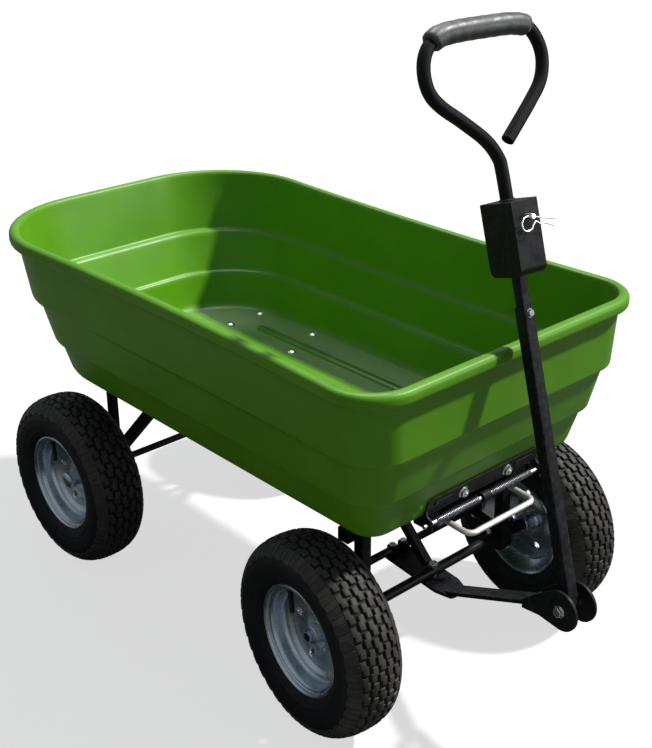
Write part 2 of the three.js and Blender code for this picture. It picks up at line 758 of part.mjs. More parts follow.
// foam sleeve over the grip bar: the same bend, trimmed to the bar
const sleevePoints = [];
for (let i = 0; i <= 24; i += 1) {
  sleevePoints.push(gripCurve.getPointAt(0.497 + (0.74 - 0.497) * (i / 24)));
}
const sleeveCurve = new THREE.CatmullRomCurve3(sleevePoints, false, 'centripetal');
addPiece('foam_grip', placeHandle(alongPath(sleeveCurve, circleShape(15.5, 12, 11), 14)), 'foam');

// hitch pin across the box, front to back, with a spring clip through its front end
const CLIP_N = BOX_FRONT + 9;
const CLIP_TURN = THREE.MathUtils.degToRad(-13.6);   // how far the clip droops about the pin
function turnAboutPin(geometry) {
  geometry.translate(0, 0, -PIN_S);
  geometry.rotateX(CLIP_TURN);
  geometry.translate(0, 0, PIN_S);
  return geometry;
}
const clipHole = turnAboutPin(rod([CLIP_N, -20, PIN_S], [CLIP_N, 20, PIN_S], 1.3 + GAP, 10));
const pinBody = turned(
  [
    [0, -BOX_REAR - 5],
    [8, -BOX_REAR - 5],
    [8, -BOX_REAR - GAP],
    [4.5, -BOX_REAR - GAP],
    [4.5, BOX_FRONT + 14],
    [3.5, BOX_FRONT + 15],
    [0, BOX_FRONT + 15],
  ],
  14,
  [1, 0, 0],
  [0, 0, PIN_S],
);
addPiece('hitch_pin', placeHandle(build([pinBody], [clipHole])), 'bright');
const clipPoints = [
  [46, 0],
  [0, 0],
  [-10, -1.5],
  [-16, -8],
  [-14.5, -17],
  [-7, -20.5],
  [1, -17.5],
  [5, -10.5],
  [9.5, -6],
  [18, -8.5],
  [28, -7],
  [42, -9.5],
];
const clipCurve = new THREE.CatmullRomCurve3(
  clipPoints.map(([w, s]) => new THREE.Vector3(CLIP_N, w, PIN_S + s)),
  false,
  'centripetal',
);
const clip = turnAboutPin(alongPath(clipCurve, circleShape(1.3, 6), 30));
addPiece('spring_clip', placeHandle(clip), 'bright');

// ---------------------------------------------------------------- wheels
// Profiles are [radius, distance outboard of the wheel centre].
const tyreProfile = [
  [87, 29],
  [87, 37.4],
  [93, 37.4],
  [101, 46],
  [122, 53.5],
  [144, 50],
  [158, 37],
  [TYRE_R, 15],
  [TYRE_R, -15],
  [158, -37],
  [144, -50],
  [122, -53.5],
  [101, -46],
  [93, -37.4],
  [87, -37.4],
  [87, -29],
  [140, -38],
  [154, 0],
  [140, 38],
  [87, 29],
].reverse();
const rimProfile = [
  [AXLE_R + GAP, -HUB_IN],
  [AXLE_R + GAP, HUB_OUT],
  [15, HUB_OUT],
  [16, 2],
  [34, -2],
  [56, 2],
  [75, 4],
  [79, 9],
  [81, 35],
  [90, 41],
  [92, 38.4],
  [86.4, 38],
  [84.5, 8],
  [73, -1],
  [73, -20],
  [85, -26],
  [86.4, -38],
  [92, -38.4],
  [90, -41],
  [81, -35],
  [80, -28],
  [69, -22],
  [69, -4],
  [56, -2.5],
  [34, -6.5],
  [16, -3],
  [15, -HUB_IN],
  [AXLE_R + GAP, -HUB_IN],
].reverse();

const capProfile = [
  [AXLE_R + GAP, HUB_OUT + GAP],
  [17, HUB_OUT + GAP],
  [17, HUB_OUT + 8],
  [12, HUB_OUT + 13],
  [0, HUB_OUT + 15],
  [0, HUB_OUT + 9 + GAP],
  [AXLE_R + GAP, HUB_OUT + 9 + GAP],
  [AXLE_R + GAP, HUB_OUT + GAP],
];

function wheelPiece(profile, segments, end, sign) {
  const piece = turned(profile, segments, [0, sign, 0]);
  if (end === 'front') {
    piece.translate(0, sign * (TRACK_FRONT_Y - KINGPIN_Y), 0);
    turnAbout(piece, FRONT_X, sign * KINGPIN_Y);
  } else {
    piece.translate(REAR_X, sign * TRACK_REAR_Y, 0);
  }
  piece.translate(0, 0, WHEEL_Z);
  return piece;
}

for (const end of ['front', 'rear']) {
  for (const [side, sign] of [['r', -1], ['l', 1]]) {
    addPiece(`tyre_${end}_${side}`, wheelPiece(tyreProfile, WHEEL_SEGMENTS, end, sign), 'rubber');
    addPiece(`rim_${end}_${side}`, wheelPiece(rimProfile, WHEEL_SEGMENTS, end, sign), 'zinc');
  }
}
for (const [side, sign] of [['r', -1], ['l', 1]]) {
  addPiece(`hub_cap_rear_${side}`, wheelPiece(capProfile, 16, 'rear', sign), 'zinc');
}

export default cart;
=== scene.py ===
"""Looks of a tow behind garden cart: green tipping tub, black tube frame, pneumatic wheels and draw handle.

Lengths are written in millimetres and measured along X from near the middle of the tub; every mesh is
moved into the frame's metres when its object is made. _r is the right side of the cart (-Y), _l the left.
"""

import math

import bmesh
import bpy
from mathutils import Matrix, Vector


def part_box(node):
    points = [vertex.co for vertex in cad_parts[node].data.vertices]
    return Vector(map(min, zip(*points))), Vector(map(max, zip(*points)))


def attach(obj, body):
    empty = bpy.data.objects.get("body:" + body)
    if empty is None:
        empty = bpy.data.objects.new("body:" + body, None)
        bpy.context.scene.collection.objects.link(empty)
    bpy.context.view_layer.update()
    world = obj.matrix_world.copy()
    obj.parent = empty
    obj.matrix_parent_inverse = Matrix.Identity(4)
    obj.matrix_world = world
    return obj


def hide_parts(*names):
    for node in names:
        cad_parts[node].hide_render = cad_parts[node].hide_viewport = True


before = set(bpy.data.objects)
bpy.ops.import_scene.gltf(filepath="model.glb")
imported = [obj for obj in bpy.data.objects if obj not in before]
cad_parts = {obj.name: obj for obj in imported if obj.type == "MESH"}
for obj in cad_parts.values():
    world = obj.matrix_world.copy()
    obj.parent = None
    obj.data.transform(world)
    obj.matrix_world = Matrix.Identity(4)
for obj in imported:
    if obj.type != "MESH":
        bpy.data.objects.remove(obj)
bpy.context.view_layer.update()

MM = 0.001
SIDES = (("r", -1), ("l", 1))
FRAME_X = -86.29 * MM      # where this script's X = 0 lies in the frame

# ---------------------------------------------------------------- driving sizes, mm
GAP = 0.4
TUBE = 20
TUBE_CORNER = 2.5
WALL = 4.5
WHEEL_Z = 165
TYRE_R = 165
FRONT_X = 377
REAR_X = -308
TRACK_REAR_Y = 263.6
TRACK_FRONT_Y = 255
HUB_OUT = 14
HUB_IN = 30
RAIL_Y = 172
RAIL_TOP = 360.5
RAIL_FRONT = 400
UNDER_RAIL = RAIL_TOP - TUBE - GAP
HINGE_X = -404
HINGE_Z = RAIL_TOP - TUBE / 2
FRONT_LEG = Vector((380, 169))
REAR_LEG_X = -308
REAR_LEG_Y = 174
REAR_LEG_FOOT = 152
REAR_LEG_HALF = 8
CROSS_TUBES = (("rear", -350), ("mid", 205))
BOLSTER_Z = 309
BOLSTER_END = 190
BOLSTER_HALF = 12
AXLE_R = 6.5
LATCH_X = 479
LATCH_Z = 357
KINGPIN_Y = 188
ARM_BACK = 93
ARM_OUT = 12
PLATE_Z = 152.5
PLATE_T = 6
BEAM_Z = 167.5
BEAM_R = 8.5
YOKE_BOTTOM = 140
YOKE_TOP = 190
YOKE_T = 6
CLEVIS_U = 302
CLEVIS_Z = 267
PIN_S = 578
STEER = math.radians(-5.76)
LEAN = math.radians(17.35)

# Steering frame: U forward from the tongue pivot, W left. Handle frame: N forward, W left, S up the handle.
STEER_FRAME = Matrix.Translation((FRONT_X, 0, 0)) @ Matrix.Rotation(STEER, 4, "Z")
HANDLE_FRAME = STEER_FRAME @ Matrix.Translation((CLEVIS_U, 0, CLEVIS_Z)) @ Matrix.Rotation(-LEAN, 4, "Y")
IDENTITY = Matrix.Identity(4)
# Turns an outline in X and Z so that it is extruded along Y.
ACROSS = Matrix(((1, 0, 0, 0), (0, 0, 1, 0), (0, 1, 0, 0), (0, 0, 0, 1)))


# ---------------------------------------------------------------- node materials
def fill_in(node, values):
    for name, value in values.items():
        node.inputs[name.replace("_", " ")].default_value = value
    return node


def add_node(tree, kind, **values):
    """Adds a shader node and fills in the inputs named here."""
    return fill_in(tree.nodes.new("ShaderNode" + kind), values)


class Nodes:
    """A material's node tree, with short calls for what every material here uses."""

    def __init__(self, name):
        self.material = bpy.data.materials.new(name)
        self.material.use_nodes = True
        self.tree = self.material.node_tree
        self.shader = self.tree.nodes["Principled BSDF"]
        self.coords = self.make("TexCoord").outputs["Object"]

    def link(self, source, target):
        self.tree.links.new(source, target)

    def make(self, kind, **values):
        return add_node(self.tree, kind, **values)

    def noise(self, scale, detail=3.0, stretch=(1, 1, 1), rough=0.5):
        mapping = self.make("Mapping", Scale=stretch)
        self.link(self.coords, mapping.inputs["Vector"])
        node = self.make("TexNoise", Scale=scale, Detail=detail, Roughness=rough)
        self.link(mapping.outputs["Vector"], node.inputs["Vector"])
        return node.outputs["Fac"]

    def spread(self, source, low, high, to_low=0.0, to_high=1.0):
        node = self.make("MapRange", From_Min=low, From_Max=high, To_Min=to_low, To_Max=to_high)
        self.link(source, node.inputs["Value"])
        return node.outputs["Result"]

    def mix(self, factor, first, second):
        node = self.make("Mix")
        node.data_type = "RGBA"
        self.link(factor, node.inputs["Factor"])
        for socket, value in ((node.inputs[6], first), (node.inputs[7], second)):
            if isinstance(value, tuple):
                socket.default_value = (*value, 1.0)
            else:
                self.link(value, socket)
        return node.outputs[2]

    def multiply(self, first, second):
        node = self.make("Math")
        node.operation = "MULTIPLY"
        for socket, value in zip(node.inputs, (first, second)):
            if isinstance(value, (int, float)):
                socket.default_value = value
            else:
                self.link(value, socket)
        return node.outputs[0]

    def upward(self, low, high):
        """1 where the surface faces up, 0 where it faces sideways or down."""
        geometry = self.make("NewGeometry")
        split = self.make("SeparateXYZ")
        self.link(geometry.outputs["Normal"], split.inputs["Vector"])
        return self.spread(split.outputs["Z"], low, high)

    def worn_edges(self):
        """1 along convex edges, 0 on flat faces."""
        geometry = self.make("NewGeometry")
        return self.spread(geometry.outputs["Pointiness"], 0.52, 0.6)

    def bump(self, *layers):
        """Each layer is (height, strength, distance in mm)."""
        below = None
        for height, strength, depth in layers:
            node = self.make("Bump", Strength=strength, Distance=depth * MM)
            self.link(height, node.inputs["Height"])
            if below is not None:
                self.link(below, node.inputs["Normal"])
            below = node.outputs["Normal"]
        self.link(below, self.shader.inputs["Normal"])

    def colour(self, source):
        self.link(source, self.shader.inputs["Base Color"])

    def roughness(self, source):
        self.link(source, self.shader.inputs["Roughness"])

    def set(self, **values):
        fill_in(self.shader, values)


def green_poly():
    """Moulded polyethylene: satin skin with a faint grain, rubbed paler in cloudy patches."""
    n = Nodes("green_poly")
    clouds = n.spread(n.noise(7, 4), 0.35, 0.7)
    skin = n.mix(clouds, (0.092, 0.285, 0.006), (0.112, 0.33, 0.009))
    dust = n.multiply(n.upward(0.7, 1.0), n.spread(n.noise(30, 6, rough=0.7), 0.5, 0.8, 0, 0.05))
    n.colour(n.mix(dust, skin, (0.2, 0.36, 0.09)))
    n.roughness(n.spread(n.noise(26, 6, rough=0.7), 0.4, 0.75, 0.35, 0.48))
    n.bump((n.noise(1100, 2), 0.1, 0.2), (n.noise(9, 2), 0.2, 0.9))
    n.set(Specular_IOR_Level=0.28)
    return n.material


def black_paint():
    """Satin powder coat with an orange-peel surface, dusty on top and rubbed at the edges."""
    n = Nodes("black_paint")
    base = n.mix(n.spread(n.noise(25, 5), 0.3, 0.75), (0.0045, 0.005, 0.0065), (0.010, 0.010, 0.012))
    dust = n.multiply(n.upward(0.5, 1.0), n.spread(n.noise(60, 6), 0.4, 0.8, 0, 0.22))
    dusty = n.mix(dust, base, (0.045, 0.043, 0.040))
    wear = n.multiply(n.worn_edges(), n.spread(n.noise(120, 5, rough=0.7), 0.45, 0.62, 0, 0.7))
    n.colour(n.mix(wear, dusty, (0.06, 0.06, 0.065)))
    n.roughness(n.spread(n.noise(45, 5), 0.3, 0.75, 0.38, 0.56))
    n.bump((n.noise(520, 2), 0.15, 0.15))
    n.set(Specular_IOR_Level=0.11)
    return n.material


def zinc(name, pale, dull, rough_low, rough_high, grime_most, metallic):
    """Zinc plate: cloudy spangle, faint brushed streaks and darker handling marks."""
    n = Nodes(name)
    spangle = n.mix(n.spread(n.noise(40, 5), 0.35, 0.7), dull, pale)
    grime = n.spread(n.noise(16, 7, rough=0.7), 0.58, 0.8, 0, grime_most)
    n.colour(n.mix(grime, spangle, tuple(0.35 * c for c in dull)))
    n.roughness(n.spread(n.noise(70, 5, (1, 1, 4)), 0.3, 0.75, rough_low, rough_high))
    n.bump((n.noise(700, 2, (1, 1, 5)), 0.06, 0.12))
    n.set(Metallic=metallic)
    return n.material


def rubber(name, clean, dusty, dust_low, dust_high, specular):
    """Tyre rubber: matt, greyed and browned by dust, finely grained."""
    n = Nodes(name)
    patches = n.spread(n.noise(22, 7, rough=0.7), 0.36, 0.72, dust_low, dust_high)
    n.colour(n.mix(patches, clean, dusty))
    n.roughness(n.spread(n.noise(90, 4), 0.3, 0.7, 0.5, 0.75))
    n.bump((n.noise(900, 3), 0.25, 0.25), (n.noise(60, 3), 0.2, 0.6))
    n.set(Specular_IOR_Level=specular)
    return n.material


def foam():
    """Closed cell foam: grey-black, soft sheen, pores and shallow hand-worn dimples."""
    n = Nodes("grip_foam")
    n.colour(n.mix(n.spread(n.noise(50, 5), 0.35, 0.7), (0.016, 0.017, 0.020), (0.036, 0.038, 0.042)))
    n.roughness(n.spread(n.noise(80, 4), 0.3, 0.7, 0.38, 0.55))
    n.bump((n.noise(1500, 3), 0.3, 0.2), (n.noise(55, 2), 0.5, 0.8))
    n.set(Specular_IOR_Level=0.6, Sheen_Weight=0.2, Sheen_Roughness=0.4)
    return n.material


GREEN = green_poly()
BLACK = black_paint()
RIM_ZINC = zinc("rim_zinc", (0.51, 0.57, 0.64), (0.41, 0.46, 0.52), 0.24, 0.34, 0.3, 0.95)
BRIGHT = zinc("bright_plate", (0.86, 0.86, 0.85), (0.70, 0.71, 0.72), 0.14, 0.28, 0.4, 0.95)
BAIL_PLATE = zinc("bail_plate", (0.80, 0.77, 0.70), (0.70, 0.67, 0.60), 0.34, 0.46, 0.25, 0.55)
DULL_STEEL = zinc("dull_steel", (0.30, 0.31, 0.33), (0.20, 0.21, 0.23), 0.42, 0.58, 0.5, 0.95)
SIDEWALL = rubber("sidewall_rubber", (0.0032, 0.0038, 0.0046), (0.013, 0.013, 0.014), 0.0, 0.6, 0.22)
TREAD = rubber("tread_rubber", (0.014, 0.013, 0.013), (0.072, 0.066, 0.060), 0.1, 0.95, 0.3)
FOAM = foam()
SLOTS = {
    "tub_poly": (GREEN,),
    "black_paint": (BLACK,),
    "zinc_steel": (RIM_ZINC,),
    "bright_steel": (BRIGHT,),
    "tyre_rubber": (SIDEWALL, TREAD),
    "grip_foam": (FOAM,),
}


# ---------------------------------------------------------------- outlines and curves
def rounded(points, radius, steps=5):
    """Closed 2-D outline with its corners rounded."""
    out = []
    count = len(points)
    for i, point in enumerate(points):
        corner = Vector(point)
        before = Vector(points[i - 1])
        after = Vector(points[(i + 1) % count])
        start = corner + (before - corner).normalized() * min(radius, (before - corner).length * 0.49)
        end = corner + (after - corner).normalized() * min(radius, (after - corner).length * 0.49)
        for k in range(steps + 1):
            t = k / steps
            out.append(start * (1 - t) ** 2 + corner * 2 * t * (1 - t) + end * t * t)
    return out


def rectangle(half_a, half_b, radius, steps=5):
    corners = [(half_a, half_b), (-half_a, half_b), (-half_a, -half_b), (half_a, -half_b)]
    return rounded(corners, radius, steps)


def circle(radius, count):
    turns = (math.tau * i / count for i in range(count))
    return [Vector((radius * math.cos(a), radius * math.sin(a))) for a in turns]


def arc(centre, radius, start_deg, end_deg, steps):
    out = []
    for i in range(steps + 1):
        angle = math.radians(start_deg + (end_deg - start_deg) * i / steps)
        out.append((centre[0] + radius * math.cos(angle), centre[1] + radius * math.sin(angle)))
    return out


def chamfered(radius, low, high, size):
    """Lathe profile of a cylinder with chamfered ends."""
    return [(radius - size, low), (radius, low + size), (radius, high - size), (radius - size, high)]


def smooth_path(points, per_span=10):
    """Catmull-Rom curve through the points."""
    p = [Vector(q) for q in points]
    p = [2 * p[0] - p[1]] + p + [2 * p[-1] - p[-2]]
    out = []
    for i in range(1, len(p) - 2):
        for k in range(per_span):
            t = k / per_span
            out.append(0.5 * (
                2 * p[i] + (p[i + 1] - p[i - 1]) * t
                + (2 * p[i - 1] - 5 * p[i] + 4 * p[i + 1] - p[i + 2]) * t * t
                + (3 * p[i] - p[i - 1] - 3 * p[i + 1] + p[i + 2]) * t ** 3
            ))
    return out + [p[-2]]


def cut_path(path, start, end, count):
    """Evenly spaced points between two fractions of a path's length."""
    lengths = [0.0]
    for a, b in zip(path, path[1:]):
        lengths.append(lengths[-1] + (b - a).length)
    out = []
    span = 0
    for i in range(count + 1):
        want = lengths[-1] * (start + (end - start) * i / count)
        while span < len(path) - 2 and lengths[span + 1] < want:
            span += 1
        t = (want - lengths[span]) / (lengths[span + 1] - lengths[span])
        out.append(path[span].lerp(path[span + 1], t))
    return out


def axis_frame(at, direction, up=(0, 0, 1)):
    """Local Z along direction, local X as near to up as it can be."""
    z = Vector(direction).normalized()
    up = Vector(up)
    if abs(z.dot(up)) > 0.99:
        up = Vector((1, 0, 0))
    x = (up - z * z.dot(up)).normalized()
    basis = Matrix((x, z.cross(x), z)).transposed().to_4x4()
    return Matrix.Translation(at) @ basis


# ---------------------------------------------------------------- shells
class Solid:
    """Closed shells in millimetres that become one object."""

    def __init__(self, place=IDENTITY):
        self.place = place
        self.verts = []
        self.faces = []
        self.kinds = []

    def add(self, verts, faces, place=None, kind=0):
        base = len(self.verts)
        full = self.place @ place if place is not None else self.place
        self.verts += [full @ Vector(v) for v in verts]
        self.faces += [[base + i for i in face] for face in faces]
        self.kinds += [kind] * len(faces)
        return self

    def loft(self, rings, place=None, loop=False, kind=0):
        """Skin over rings of equal length; loop joins the last ring to the first."""
        count = len(rings[0])
        verts = [v for ring in rings for v in ring]
        faces = []
        spans = len(rings) if loop else len(rings) - 1
        for k in range(spans):
            a, b = k * count, ((k + 1) % len(rings)) * count
            faces += [[a + i, a + (i + 1) % count, b + (i + 1) % count, b + i] for i in range(count)]
        if not loop:
            faces.append(list(range(count))[::-1])
            faces.append([(len(rings) - 1) * count + i for i in range(count)])
        return self.add(verts, faces, place, kind)

    def lathe(self, profile, segments, place=None, loop=False):
        """Profile of (radius, height) spun about local Z. loop closes a ring-shaped section."""
        turns = [math.tau * i / segments for i in range(segments)]
        rings = [[(r * math.cos(a), r * math.sin(a), h) for a in turns] for r, h in profile]
        return self.loft(rings, place, loop)

    def prism(self, outline, low, high, place=None):
        rings = [[(p[0], p[1], h) for p in outline] for h in (low, high)]
        return self.loft(rings, place)

    def tube(self, start, end, half_a, half_b, radius, wall=0.0, up=(0, 0, 1)):
        """Square bar, or square tube with open ends if it has a wall, between two points."""
        start, end = Vector(start), Vector(end)
        place = axis_frame(start, end - start, up)
        length = (end - start).length
        outer = rectangle(half_a, half_b, radius, 4)
        rings = [[(p[0], p[1], h) for p in outer] for h in (0, length)]
        if wall:
            inner = rectangle(half_a - wall, half_b - wall, max(radius - wall, 0.6), 4)
            rings += [[(p[0], p[1], h) for p in inner] for h in (length, 0)]
        return self.loft(rings, place, loop=bool(wall))

    def rod(self, start, end, radius, segments=32, chamfer=0.6):
        start, end = Vector(start), Vector(end)
        profile = chamfered(radius, 0, (end - start).length, chamfer)
        return self.lathe(profile, segments, axis_frame(start, end - start))

    def sweep(self, path, radius, sides, end_hole=0.0):
        """Round bar along a path; radius may be a list. end_hole hollows the far end to that depth."""
        path = [Vector(p) for p in path]
        radii = radius if isinstance(radius, list) else [radius] * len(path)
        tangents = [(b - a).normalized() for a, b in zip([path[0]] + path[:-1], path[1:] + [path[-1]])]
        normal = tangents[0].orthogonal().normalized()
        rings = []
        for point, tangent, r in zip(path, tangents, radii):
            normal = (normal - tangent * normal.dot(tangent)).normalized()
            side = tangent.cross(normal)
            rings.append([point + (normal * p.x + side * p.y) * r for p in circle(1, sides)])
        if end_hole:
            bore = radii[-1] * 0.8
            last, tangent = path[-1], tangents[-1]
            side = tangent.cross(normal)
            for depth in (0, end_hole):
                middle = last - tangent * depth
                rings.append([middle + (normal * p.x + side * p.y) * bore for p in circle(1, sides)])
        return self.loft(rings)

    def hex_bolt(self, at, axis, grip, shank=4, head=7, head_t=5, nut_t=6, washer=0.0, tail=3):
        """Hex head above the point, shank through the grip, nut and a thread end below."""
        local = axis_frame(at, axis)
        across = head * 2 / math.sqrt(3) / 1.12
        for low, high in ((washer, washer + head_t), (-grip - nut_t, -grip)):
            narrow = across * 0.9
            self.lathe([(narrow, low), (across, low + 0.7), (across, high - 0.7), (narrow, high)], 6, local)
        if washer:
            self.lathe([(head * 1.25, 0), (head * 1.25, washer)], 32, local)
        self.lathe([(shank, -grip - nut_t - tail), (shank, 0)], 24, local)
        return self

    def painted(self, name, body, *nodes, bevel=0.5, **options):
        """Makes the object in black paint."""
        return self.object(name, body, "black_paint", *nodes, bevel=bevel, **options)

    def object(self, name, body, slot, *nodes, materials=None, bevel=0.0, smooth_deg=35, segments=2):
        """Makes the object, rides it on its body and hides the CAD nodes it stands for."""
        mesh = bpy.data.meshes.new(name)
        points = [(FRAME_X + v.x * MM, v.y * MM, v.z * MM) for v in self.verts]
        mesh.from_pydata(points, [], self.faces)
        for index, kind in enumerate(self.kinds):
            mesh.polygons[index].material_index = kind
        bm = bmesh.new()
        bm.from_mesh(mesh)
        bmesh.ops.recalc_face_normals(bm, faces=bm.faces)
        bm.to_mesh(mesh)
        bm.free()
        mesh.polygons.foreach_set("use_smooth", [True] * len(mesh.polygons))
        mesh.set_sharp_from_angle(angle=math.radians(smooth_deg))
        for material in materials or SLOTS.get(slot, ()):
            mesh.materials.append(material)
        piece = bpy.data.objects.new(name, mesh)
        bpy.context.scene.collection.objects.link(piece)
        if bevel:
            modifier = piece.modifiers.new("edges", "BEVEL")
            modifier.width = bevel * MM
            modifier.segments = segments
            modifier.limit_method = "ANGLE"
            modifier.angle_limit = math.radians(38)
            modifier.harden_normals = True
        if body:
            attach(piece, body)
        if nodes:
            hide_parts(*nodes)
        return piece


def carve(piece, tool):
    """Cuts a solid out of a finished object."""
    cutter = tool.object("cutter", None, None)
    cut = piece.modifiers.new("cut", "BOOLEAN")
    cut.object = cutter
    cut.solver = "EXACT"
    bpy.context.view_layer.update()
    mesh = bpy.data.meshes.new_from_object(piece.evaluated_get(bpy.context.evaluated_depsgraph_get()))
    piece.modifiers.clear()
    piece.data = mesh
    bpy.data.objects.remove(cutter)


# ---------------------------------------------------------------- tub
RIM_BOW = 10
# height, front, rear, half width, front corner radius, rear corner radius, bow
TUB_LEVELS = (
    (361, 458, -431, 230, 34, 150, 0),
    (371, 470, -441, 242, 42, 155, 0),
    (432, 485, -454, 259, 50, 165, 0),
    (436, 494, -461, 269, 56, 172, 0),
    (511, 511, -491, 280, 62, 182, 0.3),
    (515, 520, -502, 290, 66, 188, 0.4),
    (611, 522.5, -524, 297, 68, 192, 1),
)
LEVEL_ROUNDING = (0, 9, 9, 4, 9, 4, 5)
FLOOR_TOP = TUB_LEVELS[0][0] + WALL
FLOOR_BOLTS = ((-318, 126), (-128, 127), (-322, 207), (-164, 214))
FLOOR_RIBS = (-150, -90, 0, 90, 160)
RIB_FRONT, RIB_REAR = 390, -270
RIB_SECTION = ((365.2, 11), (366.4, 10.4), (368.6, 8.2), (369.4, 6.8))     # height, half width
# height, distance outside the rim's wall, rounding
LIP = ((613.5, 11.5, 3), (617, 15, 4), (631, 15, 6), (636, 9, 4), (636, 0, 4), (631.5, -WALL, 5))


def moved_out(level, offset, lift=0.0):
    z, front, rear, wide, r_front, r_rear, bow = level
    return (z + lift, front + offset, rear - offset, wide + offset, r_front + offset, r_rear + offset, bow)


def tub_ring(level):
    """Rounded rectangle of one height, its long sides bowed inwards towards the rim."""
    z, front, rear, wide, r_front, r_rear, bow = level
    corner_steps, side_steps = 14, 20
    ring = []

    def corner(cx, cy, radius, start):
        ring.extend(arc((cx, cy), radius, start, start + 90, corner_steps))

    def side(x0, x1, sign):
        for i in range(1, side_steps):
            t = i / side_steps
            ring.append((x0 + (x1 - x0) * t, sign * (wide - RIM_BOW * bow * (1 - (2 * t - 1) ** 2))))

    corner(front - r_front, wide - r_front, r_front, 0)
    side(front - r_front, rear + r_rear, 1)
    corner(rear + r_rear, wide - r_rear, r_rear, 90)
    corner(rear + r_rear, r_rear - wide, r_rear, 180)
    side(rear + r_rear, front - r_front, -1)
    corner(front - r_front, r_front - wide, r_front, 270)
    return [(x, y, z) for x, y in ring]


def round_levels(levels, roundings, steps=4):
    """Softens the corners of a list of levels, as seen in the front wall's section."""
    def gap(a, b):
        return max(math.hypot(a[0] - b[0], a[1] - b[1]), 1e-6)

    def blend(a, b, t):
        return tuple(p + (q - p) * t for p, q in zip(a, b))

    out = [levels[0]]
    for before, here, after, radius in zip(levels, levels[1:], levels[2:], roundings[1:]):
        if not radius:
            out.append(here)
            continue
        start = blend(here, before, min(radius / gap(here, before), 0.48))
        end = blend(here, after, min(radius / gap(here, after), 0.48))
        for k in range(steps + 1):
            t = k / steps
            out.append(blend(blend(start, here, t), blend(here, end, t), t))
    out.append(levels[-1])
    return out


def make_tub():
    rim = TUB_LEVELS[-1]
    outer = list(TUB_LEVELS)
    lip_levels = [moved_out((height, *rim[1:]), offset) for height, offset, _ in LIP]
    inner = [moved_out(level, -WALL, WALL) for level in reversed(TUB_LEVELS[:-1])]
    roundings = list(LEVEL_ROUNDING) + [r for _, _, r in LIP] + list(reversed(LEVEL_ROUNDING[:-1]))
    shell = Solid()
    shell.loft([tub_ring(level) for level in round_levels(outer + lip_levels + inner, roundings)])
    for y in FLOOR_RIBS:
        rings = []
        for z, half in RIB_SECTION:
            front = arc((RIB_FRONT - 11, y), half, -90, 90, 10)
            rear = arc((RIB_REAR + 11, y), half, 90, 270, 10)
            rings.append([(x, across, z) for x, across in front + rear])
        shell.loft(rings)
    shell.object("tub_shell", "tub_body", "tub_poly", "tub", smooth_deg=50)


def make_floor_bolts():
    dome = [(9, 0), (9, 0.8), (8.2, 2.2), (6, 3.6), (3, 4.3), (0.2, 4.5)]
    for index, (x, y) in enumerate(FLOOR_BOLTS, 1):
        solid = Solid(Matrix.Translation((x, y, FLOOR_TOP + 0.2)))
        solid.lathe(dome, 32)
        solid.lathe([(3.9, -12), (3.9, 0)], 20)
        solid.lathe([(7, -12), (7.6, -11.4), (7.6, -5.4)], 6)
        solid.object(f"floor_bolt_head_{index}", "tub_body", "bright_steel", f"floor_bolt_{index}")


make_tub()
make_floor_bolts()


# ---------------------------------------------------------------- latch on the tub front
LATCH_HALF = 130
LATCH_BOLT_Y = 51
BAIL_R = 4.8
BAIL_HALF = 76
BAIL_BEND = 13
COIL_R = 4.7
COIL_WIRE_R = 0.7
COIL_TURNS = 30
STEPS_PER_TURN = 14
WALL_FOOT = Vector((470, 0, 371))       # where the lowest front wall starts
WALL_LEAN = math.atan2(15, 61)
OUT_OF_WALL = Vector((math.cos(WALL_LEAN), 0, -math.sin(WALL_LEAN)))
DOWN_WALL = Vector((-math.sin(WALL_LEAN), 0, -math.cos(WALL_LEAN)))


def on_wall(offset, y, z):
    """Point on the lowest front wall at this Y and height, moved out of the wall by the offset."""
    return Vector((WALL_FOOT.x + (z - WALL_FOOT.z) * math.tan(WALL_LEAN), y, z)) + OUT_OF_WALL * offset


def make_latch_plate():
    """Strip bolted to the front wall, with a lug at each end for the latch rod."""
    flat = Matrix.Translation(on_wall(GAP, 0, 386))
    flat @= Matrix((Vector((0, 1, 0)), -DOWN_WALL, OUT_OF_WALL)).transposed().to_4x4()
    half = LATCH_HALF
    strip = [(-half, -14), (half, -14), (half, 10), (half - 12, 14), (12 - half, 14), (-half, 10)]
    plate = Solid().prism(rounded(strip, 3), 0, 3.1, flat)
    for y in (-92, 92):
        plate.prism([(p[0] + y, p[1] + 1) for p in rectangle(22, 5, 4)], 3, 4.6, flat)
    lug = rounded([(-4, 20), (0, 24), (8, 12), (16, 9), (18, -8), (4, -8), (-4, 4)], 3)
    for low in (-half, half - 4):
        plate.prism(lug, low, low + 4, Matrix.Translation((WALL_FOOT.x, 0, LATCH_Z)) @ ACROSS)
    plate.painted("latch_plate_look", "tub_body", "latch_plate")

    for index, y in enumerate((-LATCH_BOLT_Y, LATCH_BOLT_Y), 1):
        bolt = Solid()
        seat = on_wall(3.9, y, 385)
        bolt.hex_bolt(seat, OUT_OF_WALL, 10.2, head=7.6, head_t=5.5, nut_t=5, washer=1.4, tail=2)
        bolt.lathe([(3.9, 6.5), (3.9, 8.6), (3.2, 9.4)], 20, axis_frame(seat, OUT_OF_WALL))
        bolt.object(f"latch_bolt_look_{index}", "tub_body", "bright_steel", f"latch_bolt_{index}", bevel=0.3)


